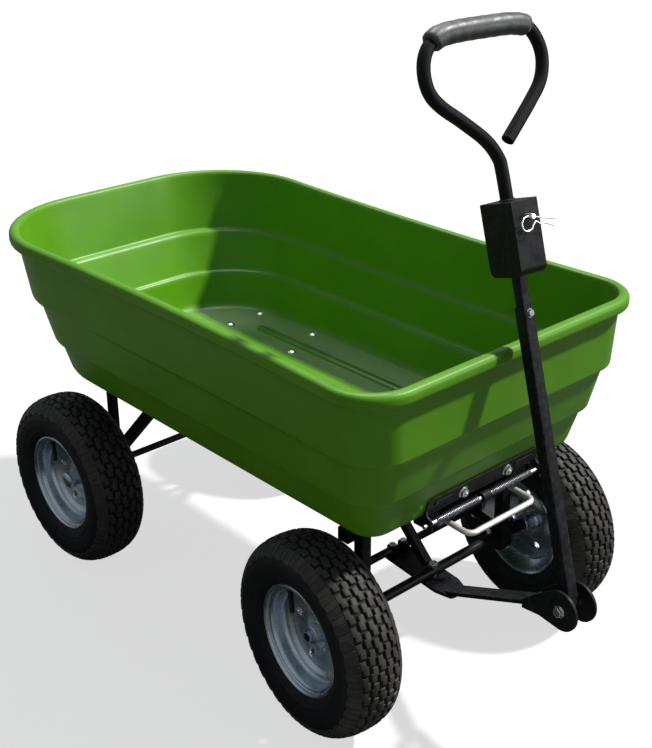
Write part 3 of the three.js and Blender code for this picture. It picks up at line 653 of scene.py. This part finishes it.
def make_latch_springs():
    rod = Solid().rod((LATCH_X, -139, LATCH_Z), (LATCH_X, 139, LATCH_Z), 3.8, 28, 1)
    rod.object("latch_shaft", "tub_body", "zinc_steel", "latch_rod")
    for side_name, y0, y1 in (("r", -112, -14), ("l", 14, 112)):
        coil = []
        steps = COIL_TURNS * STEPS_PER_TURN
        for i in range(steps + 1):
            angle = math.tau * i / STEPS_PER_TURN
            along = y0 + 1 + (y1 - y0 - 2) * i / steps
            coil.append((LATCH_X + COIL_R * math.cos(angle), along, LATCH_Z + COIL_R * math.sin(angle)))
        spring = Solid().sweep(coil, COIL_WIRE_R, 7)
        spring.object(f"latch_coil_{side_name}", "tub_body", "bright_steel", f"latch_spring_{side_name}",
                      materials=(DULL_STEEL,))


def make_latch_bail():
    """Cross tube under the tub, and the bent bail whose plate hooks over it."""
    z = RAIL_TOP - TUBE / 2
    tube = Solid().tube((451, -121, z), (451, 121, z), TUBE / 2, TUBE / 2, TUBE_CORNER, 2)
    tube.painted("latch_cross_tube", "tub_body", "latch_tube", bevel=0.4)

    arm = [(465, BAIL_HALF), (485, BAIL_HALF)] + arc((504.5, BAIL_HALF - BAIL_BEND), BAIL_BEND, 90, 0, 10)
    arm = [(x, y, 338 - 0.055 * (x - 465)) for x, y in arm]
    bail = Solid().sweep([(x, -y, z) for x, y, z in arm] + arm[::-1], BAIL_R, 24)
    bail.object("latch_bail_bar", "latch", "bright_steel", materials=(BAIL_PLATE,))
    catch = Solid()
    catch.prism(rounded([(-82, -11), (82, -11), (82, 7), (60, 11), (-60, 11), (-82, 7)], 3), 0, 3,
                axis_frame((463.7, 0, 345), (1, 0, 0)) @ Matrix.Rotation(math.pi / 2, 4, "Z"))
    catch.lathe(chamfered(8, -10, 10, 0.8), 28, axis_frame((LATCH_X, 0, LATCH_Z), (0, 1, 0)))
    catch.prism(rounded([(0, -10), (11, -10), (11, 10), (0, 10)], 1), 0, 6, Matrix.Translation((464, 0, 349)))
    catch.painted("latch_catch", "latch", "latch_bail")


make_latch_plate()
make_latch_springs()
make_latch_bail()


# ---------------------------------------------------------------- dump hinge
def make_hinge():
    for side_name, sign in SIDES:
        outline = arc((HINGE_X, HINGE_Z), 10, -90, -270, 20)
        outline += [(-366, RAIL_TOP), (-366, 354), (-390, HINGE_Z - 8)]
        place = Matrix.Translation((0, sign * 146, 0)) @ ACROSS
        bracket = Solid(place).prism(outline, -3, 3)
        node = f"hinge_bracket_{side_name}"
        bracket.painted(f"hinge_bracket_look_{side_name}", "tub_body", node, bevel=0.6)
    rod = Solid().rod((HINGE_X, -190, HINGE_Z), (HINGE_X, 190, HINGE_Z), 5, 32, 1.2)
    rod.object("hinge_shaft", "frame", "zinc_steel", "hinge_rod")


make_hinge()


# ---------------------------------------------------------------- frame
def make_rails():
    half = TUBE / 2
    for side_name, sign in SIDES:
        y = sign * RAIL_Y
        rail = Solid().tube((HINGE_X, y, HINGE_Z), (RAIL_FRONT, y, HINGE_Z), half, half, TUBE_CORNER)
        rail.lathe(chamfered(half, -half, half, 1.4), 40, axis_frame((HINGE_X, y, HINGE_Z), (0, 1, 0)))
        rail.painted(f"rail_{side_name}", "frame", f"side_rail_{side_name}")
    inside = RAIL_Y - half - GAP
    for end, x in CROSS_TUBES:
        tube = Solid().tube((x, -inside, HINGE_Z), (x, inside, HINGE_Z), half, half, TUBE_CORNER)
        tube.painted(f"cross_tube_{end}", "frame", f"{end}_cross_tube", bevel=0.4)
    low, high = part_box("front_bolster")
    bolster_x = ((low.x + high.x) / 2 - FRAME_X) / MM
    ends = [(bolster_x, y, BOLSTER_Z) for y in (-BOLSTER_END, BOLSTER_END)]
    bolster = Solid().tube(*ends, BOLSTER_HALF, BOLSTER_HALF, 3, 2.5)
    for sign in (-1, 1):
        cap = [(11.6, 0), (11.6, 2), (9, 4.5), (3, 5.2)]
        seat = (bolster_x, sign * (BOLSTER_END - 5.4), BOLSTER_Z)
        bolster.lathe(cap, 36, axis_frame(seat, (0, sign, 0)))
    bolster.painted("bolster", "frame", "front_bolster")


def make_legs():
    half = REAR_LEG_HALF
    for side_name, sign in SIDES:
        y = sign * REAR_LEG_Y
        leg = Solid().tube((REAR_LEG_X, y, REAR_LEG_FOOT), (REAR_LEG_X, y, UNDER_RAIL), half, half, 2)
        leg.painted(f"leg_rear_{side_name}", "frame", f"rear_leg_{side_name}")
        foot = REAR_LEG_X + half + GAP
        brace_top = UNDER_RAIL - GAP
        outline = [(foot, 176), (foot + 153.5, brace_top), (foot + 126, brace_top), (foot, 205)]
        brace = Solid(Matrix.Translation((0, y, 0)) @ ACROSS).prism(outline, -half, half)
        brace.painted(f"brace_rear_{side_name}", "frame", f"rear_brace_{side_name}", bevel=1.6, segments=3)
        x, y = FRONT_LEG.x, sign * FRONT_LEG.y
        leg = Solid().tube((x, y, YOKE_TOP + GAP), (x, y, UNDER_RAIL), TUBE / 2, TUBE / 2, TUBE_CORNER)
        leg.painted(f"leg_front_{side_name}", "frame", f"front_leg_{side_name}")


def make_axles():
    end = TRACK_REAR_Y + HUB_OUT + 9
    axle = Solid().rod((REAR_X, -end, WHEEL_Z), (REAR_X, end, WHEEL_Z), AXLE_R, 32, 1)
    for sign in (-1, 1):
        collar = [(7, 0), (12, 0.6), (12, 5.4), (7, 6)]
        axle.lathe(collar, 32, axis_frame((REAR_X, sign * 184, WHEEL_Z), (0, sign, 0)))
    axle.painted("axle_rear", "frame", "rear_axle", bevel=0)

    beam = Solid().rod((FRONT_X, -168, BEAM_Z), (FRONT_X, 168, BEAM_Z), BEAM_R, 36, 0.5)
    yoke_middle = (YOKE_BOTTOM + YOKE_TOP) / 2
    for sign in (-1, 1):
        ends = [(FRONT_X, sign * y, yoke_middle) for y in (160, 176)]
        beam.tube(*ends, (YOKE_TOP - YOKE_BOTTOM) / 2, 12, 3)
        start = 0 if sign > 0 else 180
        for z in (YOKE_BOTTOM, YOKE_TOP - YOKE_T):
            fork = arc((0, sign * KINGPIN_Y), 11, start, start + 180, 18)
            fork += [(-11 * sign, sign * 168), (11 * sign, sign * 168)]
            beam.prism(fork, z, z + YOKE_T, Matrix.Translation((FRONT_X, 0, 0)))
    beam.painted("axle_beam_front", "frame", "front_axle_beam", bevel=0.6)

    low_end, high_end = (364, 0, 173), (202.5, 0, 334.5)
    Solid().tube(low_end, high_end, 7, 8, 2).painted("brace_centre", "frame", "centre_brace")


def make_pivots():
    """Kingpins with a domed head above and a nut below, and the tongue's pivot bolt."""
    for side_name, sign in SIDES:
        pin = Solid(Matrix.Translation((FRONT_X, sign * KINGPIN_Y, 0)))
        pin.lathe([(6, 137), (6, YOKE_TOP + GAP)], 28)
        pin.lathe([(7.4, 190.4), (8, 191), (7.6, 193.6), (5, 195.2), (1, 195.6)], 28)
        pin.lathe([(7, 133), (8, 133.8), (8, 138.6), (7, 139.6)], 6)
        pin.object(f"king_pin_{side_name}", "frame", "zinc_steel", f"kingpin_{side_name}", bevel=0.2)
    pivot = Solid(Matrix.Translation((FRONT_X, 0, 0)))
    pivot.lathe([(6, PLATE_Z - 8), (6, 183)], 24)
    pivot.lathe([(8.2, 176.4), (9, 177), (9, 182), (8.2, 182.8)], 6)
    pivot.lathe([(8.2, PLATE_Z - 7.4), (9, PLATE_Z - 6.8), (9, PLATE_Z - 1.4), (8.2, PLATE_Z - 0.6)], 6)
    pivot.object("pivot_bolt", "frame", "bright_steel", "tongue_pivot_bolt", bevel=0.2)


make_rails()
make_legs()
make_axles()
make_pivots()


# ---------------------------------------------------------------- tongue and steering linkage
def make_tongue():
    tongue = Solid(STEER_FRAME)
    plate = [(-108, -21), (-98, -27), (34, -27), (66, -17), (66, 17), (34, 27), (-98, 27), (-108, 21)]
    tongue.prism(rounded(plate, 6), PLATE_Z, PLATE_Z + PLATE_T)
    strap = [(44, PLATE_Z), (58, PLATE_Z + 3), (236, 238.5),
             (236, 245.5), (56, PLATE_Z + 9), (44, PLATE_Z + PLATE_T)]
    tongue.prism(strap, -17, 17, ACROSS)
    tongue.prism(rounded([(228, 236), (240, 236), (240, 246), (228, 246)], 1), -22.3, 22.3, ACROSS)
    ear = [(226, 231), (262, CLEVIS_Z - 30), (CLEVIS_U, CLEVIS_Z - 32)]
    ear += arc((CLEVIS_U, CLEVIS_Z), 32, -88, 120, 30) + [(250, 268), (226, 246)]
    for low in (-22.5, 17.5):
        tongue.prism(ear, low, low + 5, ACROSS)
    tongue.painted("tongue_look", "tongue_body", "tongue", bevel=0.9)

    bolt = Solid(STEER_FRAME)
    bolt.hex_bolt((CLEVIS_U, -22.9, CLEVIS_Z), (0, -1, 0), 45.8, 5, 8, 5.5, 6, 1.2, 2)
    bolt.object("clevis_bolt_look", "tongue_body", "bright_steel", "clevis_bolt", bevel=0.3)


def kingpin_frame(sign):
    """Frame of a knuckle: at its kingpin, turned with the steering."""
    return Matrix.Translation((FRONT_X, sign * KINGPIN_Y, 0)) @ Matrix.Rotation(STEER, 4, "Z")


def make_knuckle(side_name, sign):
    knuckle = Solid(kingpin_frame(sign))
    knuckle.lathe(chamfered(11, YOKE_BOTTOM + YOKE_T + 0.6, YOKE_TOP - YOKE_T - GAP, 0.6), 36)
    reach = TRACK_FRONT_Y - KINGPIN_Y
    knuckle.rod((0, sign * 4, WHEEL_Z), (0, sign * (reach - 31), WHEEL_Z), 10.5)
    knuckle.rod((0, sign * 4, WHEEL_Z), (0, sign * (reach + HUB_OUT + 9), WHEEL_Z), AXLE_R, 32, 1)
    arm = arc((-ARM_BACK, sign * ARM_OUT), 9, 90, 270, 20) + [(0, -9 + sign), (0, 9 + sign)]
    knuckle.prism(arm, PLATE_Z, PLATE_Z + PLATE_T)
    knuckle.painted(f"knuckle_look_{side_name}", f"knuckle_body_{side_name}", f"knuckle_{side_name}")


def make_tie_rod(side_name, sign):
    """Rod with an eye at each end, from the tongue plate to the knuckle's arm, and its two bolts."""
    eye_low = PLATE_Z + PLATE_T + GAP
    eye_high = eye_low + 14
    middle = (eye_low + eye_high) / 2
    inner = STEER_FRAME @ Vector((-ARM_BACK, sign * ARM_OUT, 0))
    outer_y = inner.y + sign * KINGPIN_Y
    rod = Solid()
    rod.rod((inner.x, inner.y + sign * 6, middle), (inner.x, outer_y - sign * 6, middle), 6.9, 28)
    for y, radius in ((inner.y, 10), (outer_y, 9)):
        rod.lathe(chamfered(radius, eye_low, eye_high, 0.8), 32, Matrix.Translation((inner.x, y, 0)))
    rod.painted(f"tie_rod_look_{side_name}", f"tie_{side_name}", f"tie_rod_{side_name}", bevel=0.3)
    for end, y, body in (("inner", inner.y, "tongue_body"), ("outer", outer_y, f"knuckle_body_{side_name}")):
        bolt = Solid().hex_bolt((inner.x, y, eye_high + GAP), (0, 0, 1), 21.2, 4, 6.4, 4.4, 5.6, 0, 0.8)
        bolt.object(f"tie_bolt_look_{end}_{side_name}", body, "bright_steel",
                    f"tie_bolt_{end}_{side_name}", bevel=0.3)


make_tongue()
for side_name, sign in SIDES:
    make_knuckle(side_name, sign)
    make_tie_rod(side_name, sign)


# ---------------------------------------------------------------- draw handle
DRAW_TOP = 452
DRAW_WALL = 1.8
INSERT_LOW = 407
INSERT_HIGH = 522
HANDLE_R = 9.5
FOAM_R = 15.3
FOAM_FROM, FOAM_TO = 0.497, 0.74        # fractions of the bent tube's length
PIN_R = 4.5
CLIP_WIRE_R = 1.3
CLIP_TURN = math.radians(13.6)
BOLT_S = 443
BOX_BOTTOM = 498
BOX_TOP = 602
BOX_FRONT = 33
BOX_REAR = 30
BOX_HALF_W = 25
BOX_CORNER = 12
BOX_WALL = 3
GRIP_S = 837
# (W, S) points of the bent round tube, from inside the box round to its free end
GRIP_PATH = (
    (0, 512), (0, 580), (-1, 645), (-5, 664), (-22, 689), (-58, 719), (-91, 744), (-107, 765), (-110, 792),
    (-101, 816), (-80, 832), (-48, GRIP_S), (6, GRIP_S + 1), (60, GRIP_S), (88, 829), (103, 807), (106, 782),
    (96, 755), (72, 730), (18, 683),
)


def make_hitch_box():
    """Folded box with rounded lower edges, open below, closed above round the handle tube."""
    low = BOX_BOTTOM + BOX_CORNER
    side = arc((BOX_CORNER - BOX_REAR, low), BOX_CORNER, 180, 270, 10)
    side += arc((BOX_FRONT - BOX_CORNER, low), BOX_CORNER, 270, 360, 10)
    side += [(BOX_FRONT, BOX_TOP), (-BOX_REAR, BOX_TOP)]
    block = Solid(HANDLE_FRAME).prism(side, -BOX_HALF_W, BOX_HALF_W, ACROSS)
    piece = block.painted("hitch_box_look", "handle", "hitch_box", bevel=0.8, segments=3)

    rear, front, top = BOX_WALL - BOX_REAR, BOX_FRONT - BOX_WALL, BOX_TOP - BOX_WALL
    mouth_rear, mouth_front = BOX_CORNER - BOX_REAR, BOX_FRONT - BOX_CORNER
    hollow = [(rear, top), (front, top), (front, low), (mouth_front, low), (mouth_front, BOX_BOTTOM - 5),
              (mouth_rear, BOX_BOTTOM - 5), (mouth_rear, low), (rear, low)]
    inside = BOX_HALF_W - BOX_WALL
    carve(piece, Solid(HANDLE_FRAME).prism(hollow, -inside, inside, ACROSS))
    weld = [(12.2, BOX_TOP - 0.5), (11.8, BOX_TOP + 1.6), (10.2, BOX_TOP + 3), (8, BOX_TOP + 3)]
    Solid(HANDLE_FRAME).lathe(weld, 40).painted("hitch_box_weld", "handle", bevel=0)


def make_handle():
    half = TUBE / 2
    draw = Solid(HANDLE_FRAME)
    draw.tube((0, 0, 0), (0, 0, DRAW_TOP), half, half, TUBE_CORNER, DRAW_WALL, up=(1, 0, 0))
    draw.lathe(chamfered(half, -9.8, 9.8, 1.6), 40, axis_frame((0, 0, 0), (0, 1, 0)))
    draw.painted("draw_tube_look", "handle", "draw_tube", bevel=0.4)
    bolt = Solid(HANDLE_FRAME)
    bolt.hex_bolt((half + GAP, 0, BOLT_S), (1, 0, 0), TUBE + 2 * GAP, 3, 5.2, 3.6, 3.6, 0.8, 1)
    bolt.object("handle_bolt_look", "handle", "bright_steel", "handle_bolt",
                materials=(DULL_STEEL,), bevel=0.25)

    make_hitch_box()

    path = smooth_path([(0, w, s) for w, s in GRIP_PATH])
    upper = Solid(HANDLE_FRAME).sweep(path, HANDLE_R, 32, end_hole=25)
    upper.tube((0, 0, INSERT_LOW), (0, 0, INSERT_HIGH), 8, 8, 2, up=(1, 0, 0))
    upper.painted("upper_handle_look", "handle", "upper_handle", bevel=0.3)

    sleeve = cut_path(path, FOAM_FROM, FOAM_TO, 60)
    end_radii = [FOAM_R - 2.9, FOAM_R - 0.6, FOAM_R]
    middle_radii = [FOAM_R + 0.2 * math.sin(0.9 * i) for i in range(len(sleeve) - 2 * len(end_radii))]
    grip = Solid(HANDLE_FRAME).sweep(sleeve, end_radii + middle_radii + end_radii[::-1], 40)
    grip.object("foam_sleeve", "handle", "grip_foam", "foam_grip", smooth_deg=60)


def make_hitch_pin():
    """Pin through the box with a head behind it, and the wire clip through its front end."""
    head = [(7.2, -5), (8, -4.2), (8, -1), (7, -GAP), (PIN_R, -GAP)]
    nose = [(PIN_R, 12.5), (3.6, 14.6), (1, 15)]
    profile = [(r, h - BOX_REAR) for r, h in head] + [(r, BOX_FRONT + h) for r, h in nose]
    pin = Solid(HANDLE_FRAME).lathe(profile, 32, axis_frame((0, 0, PIN_S), (1, 0, 0)))
    pin.object("hitch_pin_look", "pin", "bright_steel", "hitch_pin")
    # (W, S) points of the bent wire, measured from the pin before the clip droops
    wire = ((46, 0), (22, 0), (0, 0), (-10, -1.5), (-16, -8), (-14.5, -17), (-7, -20.5), (1, -17.5),
            (5, -10.5), (9.5, -6), (18, -8.5), (28, -7), (42, -9.5))
    droop = Matrix.Translation((BOX_FRONT + 9, 0, PIN_S)) @ Matrix.Rotation(-CLIP_TURN, 4, "X")
    path = smooth_path([(0, w, s) for w, s in wire])
    clip = Solid(HANDLE_FRAME @ droop).sweep(path, CLIP_WIRE_R, 12)
    clip.object("clip_wire", "clip", "bright_steel", "spring_clip")


make_handle()
make_hitch_pin()


# ---------------------------------------------------------------- wheels
BLOCKS_ROUND = 38
TREAD_DEPTH = 5.2
ROW_PITCH = 14.6
ROWS = (-2, -1, 0, 1, 2)
VENT_RING = 49
NUT_RING = 30
VALVE_RING = 79
VALVE_DEG = 32


def crown(h):
    """Radius of the tread surface at a distance from the wheel's middle plane."""
    return TYRE_R - 7.2 * (abs(h) / 37) ** 2.7


def tread_block(solid, angle, middle, flip):
    """One stepped block that interlocks with its neighbours; flip mirrors it across its row."""
    half_u, step, half_v = 11.7, 3.3, 6.3
    outline = [(-half_u, -half_v), (2.8, -half_v), (2.8, -step), (half_u, -step),
               (half_u, half_v), (-2.8, half_v), (-2.8, step), (-half_u, step)]
    if flip:
        outline = [(-u, v) for u, v in outline][::-1]
    rings = []
    for depth, inset in ((-TREAD_DEPTH, 0.0), (-1.0, 0.4), (-0.25, 0.8), (0.0, 1.6)):
        ring = []
        for u, v in outline:
            u -= math.copysign(inset, u)
            v -= math.copysign(inset, v)
            radius = crown(middle + v) + depth
            turn = angle + u / TYRE_R
            ring.append((radius * math.cos(turn), radius * math.sin(turn), middle + v))
        rings.append(ring)
    solid.loft(rings, kind=1)


def shoulder_lug(solid, angle, sign, long):
    """Lug that folds over the shoulder and runs a little way down the sidewall."""
    reach = 4.5 if long else 1.5
    stations = [(35.6, crown(35.6) - 0.1), (40, crown(40) - 0.3),
                (45.5, 150.6), (49.2, 146.5), (50.6, 145.0 - reach)]
    half_u = 8.0 if long else 6.2
    rings = []
    for depth, inset in ((-4.6, 0.0), (-0.9, 0.3), (0.0, 1.3)):
        ring = []
        for edge in (1, -1):
            order = stations if edge > 0 else stations[::-1]
            for h, r in order:
                u = edge * (half_u - inset)
                tilt = math.atan2(h - 36, 22)
                radius = r + depth * math.cos(tilt)
                height = h + depth * math.sin(tilt)
                turn = angle + u / TYRE_R
                ring.append((radius * math.cos(turn), radius * math.sin(turn), sign * height))
        rings.append(ring)
    solid.loft(rings, kind=1)


def make_tyre(name, body, place, node):
    carcass = [
        (87, 29), (87.2, 35.5), (89.5, 37.8), (93, 38.5), (97, 42.6), (101, 45.6), (105, 47.0), (106.5, 48.2),
        (108.5, 48.1), (112, 49.4), (117, 50.8), (122, 51.6), (127, 51.6), (130, 52.3), (132.5, 51.6),
        (138, 50.2), (144, 46.9), (149.5, 42), (154, 36), (157.6, 28), (159.6, 18), (160.3, 8),
    ]
    profile = carcass + [(r, -h) for r, h in reversed(carcass)] + [(140, -36), (152, 0), (140, 36)]
    solid = Solid(place)
    solid.lathe(profile, 120, loop=True)
    pitch = math.tau / BLOCKS_ROUND
    for i in range(BLOCKS_ROUND):
        for row in ROWS:
            tread_block(solid, pitch * (i + 0.5 * (row % 2)), row * ROW_PITCH, row % 2 == 1)
        for sign in (-1, 1):
            shoulder_lug(solid, pitch * (i + 0.5), sign, True)
            shoulder_lug(solid, pitch * i, sign, False)
    solid.object(name, body, "tyre_rubber", node, smooth_deg=40)


# Rim section as (radius, distance outboard): hub tube, dished disc, barrel and double lip.
RIM_OUTER = [
    (7, -HUB_IN), (7, HUB_OUT), (14.2, HUB_OUT), (15, HUB_OUT - 0.8), (15, 2.5), (16.5, -0.5), (20, -2.2),
    (30, -3), (36, -2.2), (42, 0.2), (52, 2.4), (60, 3.2), (64, 4.4), (68, 7.6), (72, 9.4), (75.5, 10.4),
    (77.2, 12.5), (78.4, 18), (79.6, 25), (81, 31), (82.6, 33.4), (85.4, 34.2), (86.8, 35.4), (87.2, 37.4),
]
RIM_BEAD = [
    (88.4, 39.8), (90.4, 41), (92.6, 40.6), (93.8, 39.2), (93.6, 38), (91, 37.6), (87.4, 36.4), (85.6, 31),
    (84, 24), (81, 15), (74, 2), (73, -6), (73, -18), (80, -25.4), (84.4, -30), (86.2, -36.6), (89.4, -37.6),
    (91.4, -38.2), (91.8, -39.4), (90.4, -40.8), (88.6, -40.9),
]
RIM_INBOARD = [
    (86.8, -39.6), (84, -35), (80.6, -31), (78, -27), (69, -20), (69, -6), (66, 1), (60, -1), (52, -1.6),
    (42, -3.8), (36, -6.2), (30, -7), (18, -6), (15, -9), (15, 1 - HUB_IN), (14.2, -HUB_IN),
]


def four_round(radius, start_deg, height):
    """Four places a quarter turn apart round the wheel's axis."""
    angles = [math.radians(start_deg + 90 * k) for k in range(4)]
    return [Matrix.Translation((radius * math.cos(a), radius * math.sin(a), height)) for a in angles]


def make_rim(name, body, place, node):
    rim = Solid(place).lathe(RIM_OUTER + RIM_BEAD + RIM_INBOARD, 96, loop=True)
    piece = rim.object(name, body, "zinc_steel", node, smooth_deg=32)
    holes = Solid(place)
    for at in four_round(VENT_RING, VALVE_DEG + 40, -20):
        holes.lathe([(6.2, 0), (6.2, 40)], 28, at)
    carve(piece, holes)

    nuts = Solid(place)
    for at in four_round(NUT_RING, VALVE_DEG + 85, -3.2):
        nuts.lathe([(4.4, 0), (4.8, 0.5), (4.8, 3.6), (4.3, 4.1)], 6, at)
    nuts.object(name + "_nuts", body, "zinc_steel", bevel=0.25)

    x, y = math.cos(math.radians(VALVE_DEG)), math.sin(math.radians(VALVE_DEG))
    stem_place = place @ axis_frame((VALVE_RING * x, VALVE_RING * y, 23), (-x, -y, 0.25))
    stem = Solid(stem_place)
    stem.lathe([(6.6, -2), (6.6, 0.6), (5.4, 2.4), (4.2, 4), (4, 26), (3.4, 26.6)], 28)
    stem.object(name + "_valve", body, "tyre_rubber", materials=(SIDEWALL,))
    cap = Solid(stem_place).lathe([(3.4, 26.4), (3.8, 27), (3.8, 35.6), (3.1, 36.8), (1, 37)], 24)
    cap.painted(name + "_valve_cap", body, bevel=0.2)


def make_wheels():
    for end in ("front", "rear"):
        for side_name, sign in SIDES:
            if end == "front":
                hub = (0, sign * (TRACK_FRONT_Y - KINGPIN_Y), WHEEL_Z)
                place = kingpin_frame(sign) @ axis_frame(hub, (0, sign, 0))
            else:
                place = axis_frame((REAR_X, sign * TRACK_REAR_Y, WHEEL_Z), (0, sign, 0))
            body = f"wheel_{end}_{side_name}"
            make_tyre(f"tyre_look_{end}_{side_name}", body, place, f"tyre_{end}_{side_name}")
            make_rim(f"rim_look_{end}_{side_name}", body, place, f"rim_{end}_{side_name}")
            if end == "rear":
                cap = Solid(place)
                dome = ((16.2, 0.4), (17, 1.2), (17, 8), (15.6, 11.4), (12, 13.4), (8, 14.6), (1, 14.9))
                cap.lathe([(r, HUB_OUT + h) for r, h in dome], 40)
                cap.object(f"hub_cap_look_{side_name}", "frame", "zinc_steel", f"hub_cap_rear_{side_name}")
            else:
                nut = Solid(place)
                nut.lathe([(13.4, HUB_OUT + 0.5), (13.4, HUB_OUT + 2.2)], 36)
                flats = ((8.8, 2.4), (9.2, 2.9), (9.2, 6.8), (8.8, 7.3))
                nut.lathe([(r, HUB_OUT + h) for r, h in flats], 6)
                nut.object(f"spindle_nut_{side_name}", f"knuckle_body_{side_name}", "zinc_steel", bevel=0.3)


make_wheels()


# ---------------------------------------------------------------- floor, light and camera
SKY_DIFFUSE = 0.185
SKY_GLOSSY = 0.46
FLOOR_HALF = 30.0
FLOOR_DROP = 0.0005
# Panels that only show as sheen, one inside the tub's rear wall and one along the top of the rim:
# name, azimuth, elevation, side in metres, watts.
PANELS = (("wall_sheen", 36, 14, 2.6, 110), ("rim_sheen", 138, 68, 3.0, 300))
CAMERA_PLACE = Vector((FRAME_X + 1.5697, -1.3241, 1.3594))
CAMERA_YAW, CAMERA_PITCH, CAMERA_ROLL = (math.radians(turn) for turn in (137.773, -25.0, -0.26))


def light_path(tree, output):
    return add_node(tree, "LightPath").outputs[output]


def pale_floor():
    """White to the camera with a soft grey shadow, and dark to every other ray, like a yard."""
    n = Nodes("pale_floor")
    seen = n.make("BsdfDiffuse")
    glow = n.make("Emission", Strength=0.66)
    unseen = n.make("BsdfDiffuse", Color=(0.17, 0.18, 0.16, 1))
    n.link(n.mix(n.noise(3, 3), (0.30, 0.30, 0.30), (0.33, 0.33, 0.33)), seen.inputs["Color"])
    both = n.make("AddShader")
    n.link(seen.outputs[0], both.inputs[0])
    n.link(glow.outputs[0], both.inputs[1])
    choose = n.make("MixShader")
    n.link(light_path(n.tree, "Is Camera Ray"), choose.inputs[0])
    n.link(unseen.outputs[0], choose.inputs[1])
    n.link(both.outputs[0], choose.inputs[2])
    n.link(choose.outputs[0], n.tree.nodes["Material Output"].inputs["Surface"])
    return n.material


def studio_sky():
    """Soft overcast dome: white behind the cart, bluish in reflections, dim as fill light."""
    world = bpy.data.worlds.new("studio")
    world.use_nodes = True
    tree = world.node_tree
    fill = fill_in(tree.nodes["Background"], {"Color": (0.86, 0.93, 1.0, 1.0), "Strength": SKY_DIFFUSE})
    shine = add_node(tree, "Background", Color=(0.84, 0.92, 1.0, 1.0), Strength=SKY_GLOSSY)
    backdrop = add_node(tree, "Background", Color=(1, 1, 1, 1))
    first, second = add_node(tree, "MixShader"), add_node(tree, "MixShader")
    for mix, ray, low, high in ((first, "Is Glossy Ray", fill, shine),
                                (second, "Is Camera Ray", first, backdrop)):
        tree.links.new(light_path(tree, ray), mix.inputs[0])
        tree.links.new(low.outputs[0], mix.inputs[1])
        tree.links.new(high.outputs[0], mix.inputs[2])
    tree.links.new(second.outputs[0], tree.nodes["World Output"].inputs["Surface"])
    return world


def place_light(name, kind, azimuth, elevation, distance=0.0, diffuse=True):
    """Lamp that looks at the tub from the azimuth (from +X towards +Y) and the elevation."""
    lamp = bpy.data.lights.new(name, kind)
    thing = bpy.data.objects.new(name, lamp)
    azimuth, elevation = math.radians(azimuth), math.radians(elevation)
    towards = Vector((math.cos(azimuth) * math.cos(elevation), math.sin(azimuth) * math.cos(elevation),
                      math.sin(elevation)))
    thing.location = Vector((FRAME_X, 0, 0.5)) + towards * distance
    thing.rotation_mode = "QUATERNION"
    thing.rotation_quaternion = towards.to_track_quat("Z", "Y")
    thing.visible_camera = False
    thing.visible_diffuse = diffuse
    bpy.context.scene.collection.objects.link(thing)
    return lamp


def make_stage():
    floor = bpy.data.meshes.new("floor")
    corners = ((-1, -1), (1, -1), (1, 1), (-1, 1))
    floor.from_pydata([(x * FLOOR_HALF, y * FLOOR_HALF, 0) for x, y in corners], [], [(0, 1, 2, 3)])
    floor.materials.append(pale_floor())
    plane = bpy.data.objects.new("floor", floor)
    plane.location.z = -FLOOR_DROP
    bpy.context.scene.collection.objects.link(plane)
    bpy.context.scene.world = studio_sky()

    sun = place_light("sun", "SUN", 58, 52)
    sun.energy = 4.7
    sun.angle = math.radians(3.5)
    sun.color = (1.0, 0.985, 0.95)
    for name, azimuth, elevation, size, energy in PANELS:
        panel = place_light(name, "AREA", azimuth, elevation, 6.0, diffuse=False)
        panel.shape = "SQUARE"
        panel.size = size
        panel.energy = energy


def make_camera():
    data = bpy.data.cameras.new("camera")
    data.lens = 60.41
    data.sensor_width = 36
    camera = bpy.data.objects.new("camera", data)
    camera.location = CAMERA_PLACE
    flat = math.cos(CAMERA_PITCH)
    forward = Vector((math.cos(CAMERA_YAW) * flat, math.sin(CAMERA_YAW) * flat, math.sin(CAMERA_PITCH)))
    camera.rotation_mode = "QUATERNION"
    level = forward.to_track_quat("-Z", "Y")
    camera.rotation_quaternion = level @ Matrix.Rotation(CAMERA_ROLL, 3, "Z").to_quaternion()
    bpy.context.scene.collection.objects.link(camera)
    bpy.context.scene.camera = camera


make_stage()
make_camera()
bpy.context.scene.view_settings.view_transform = "Standard"
bpy.context.scene.view_settings.look = "None"
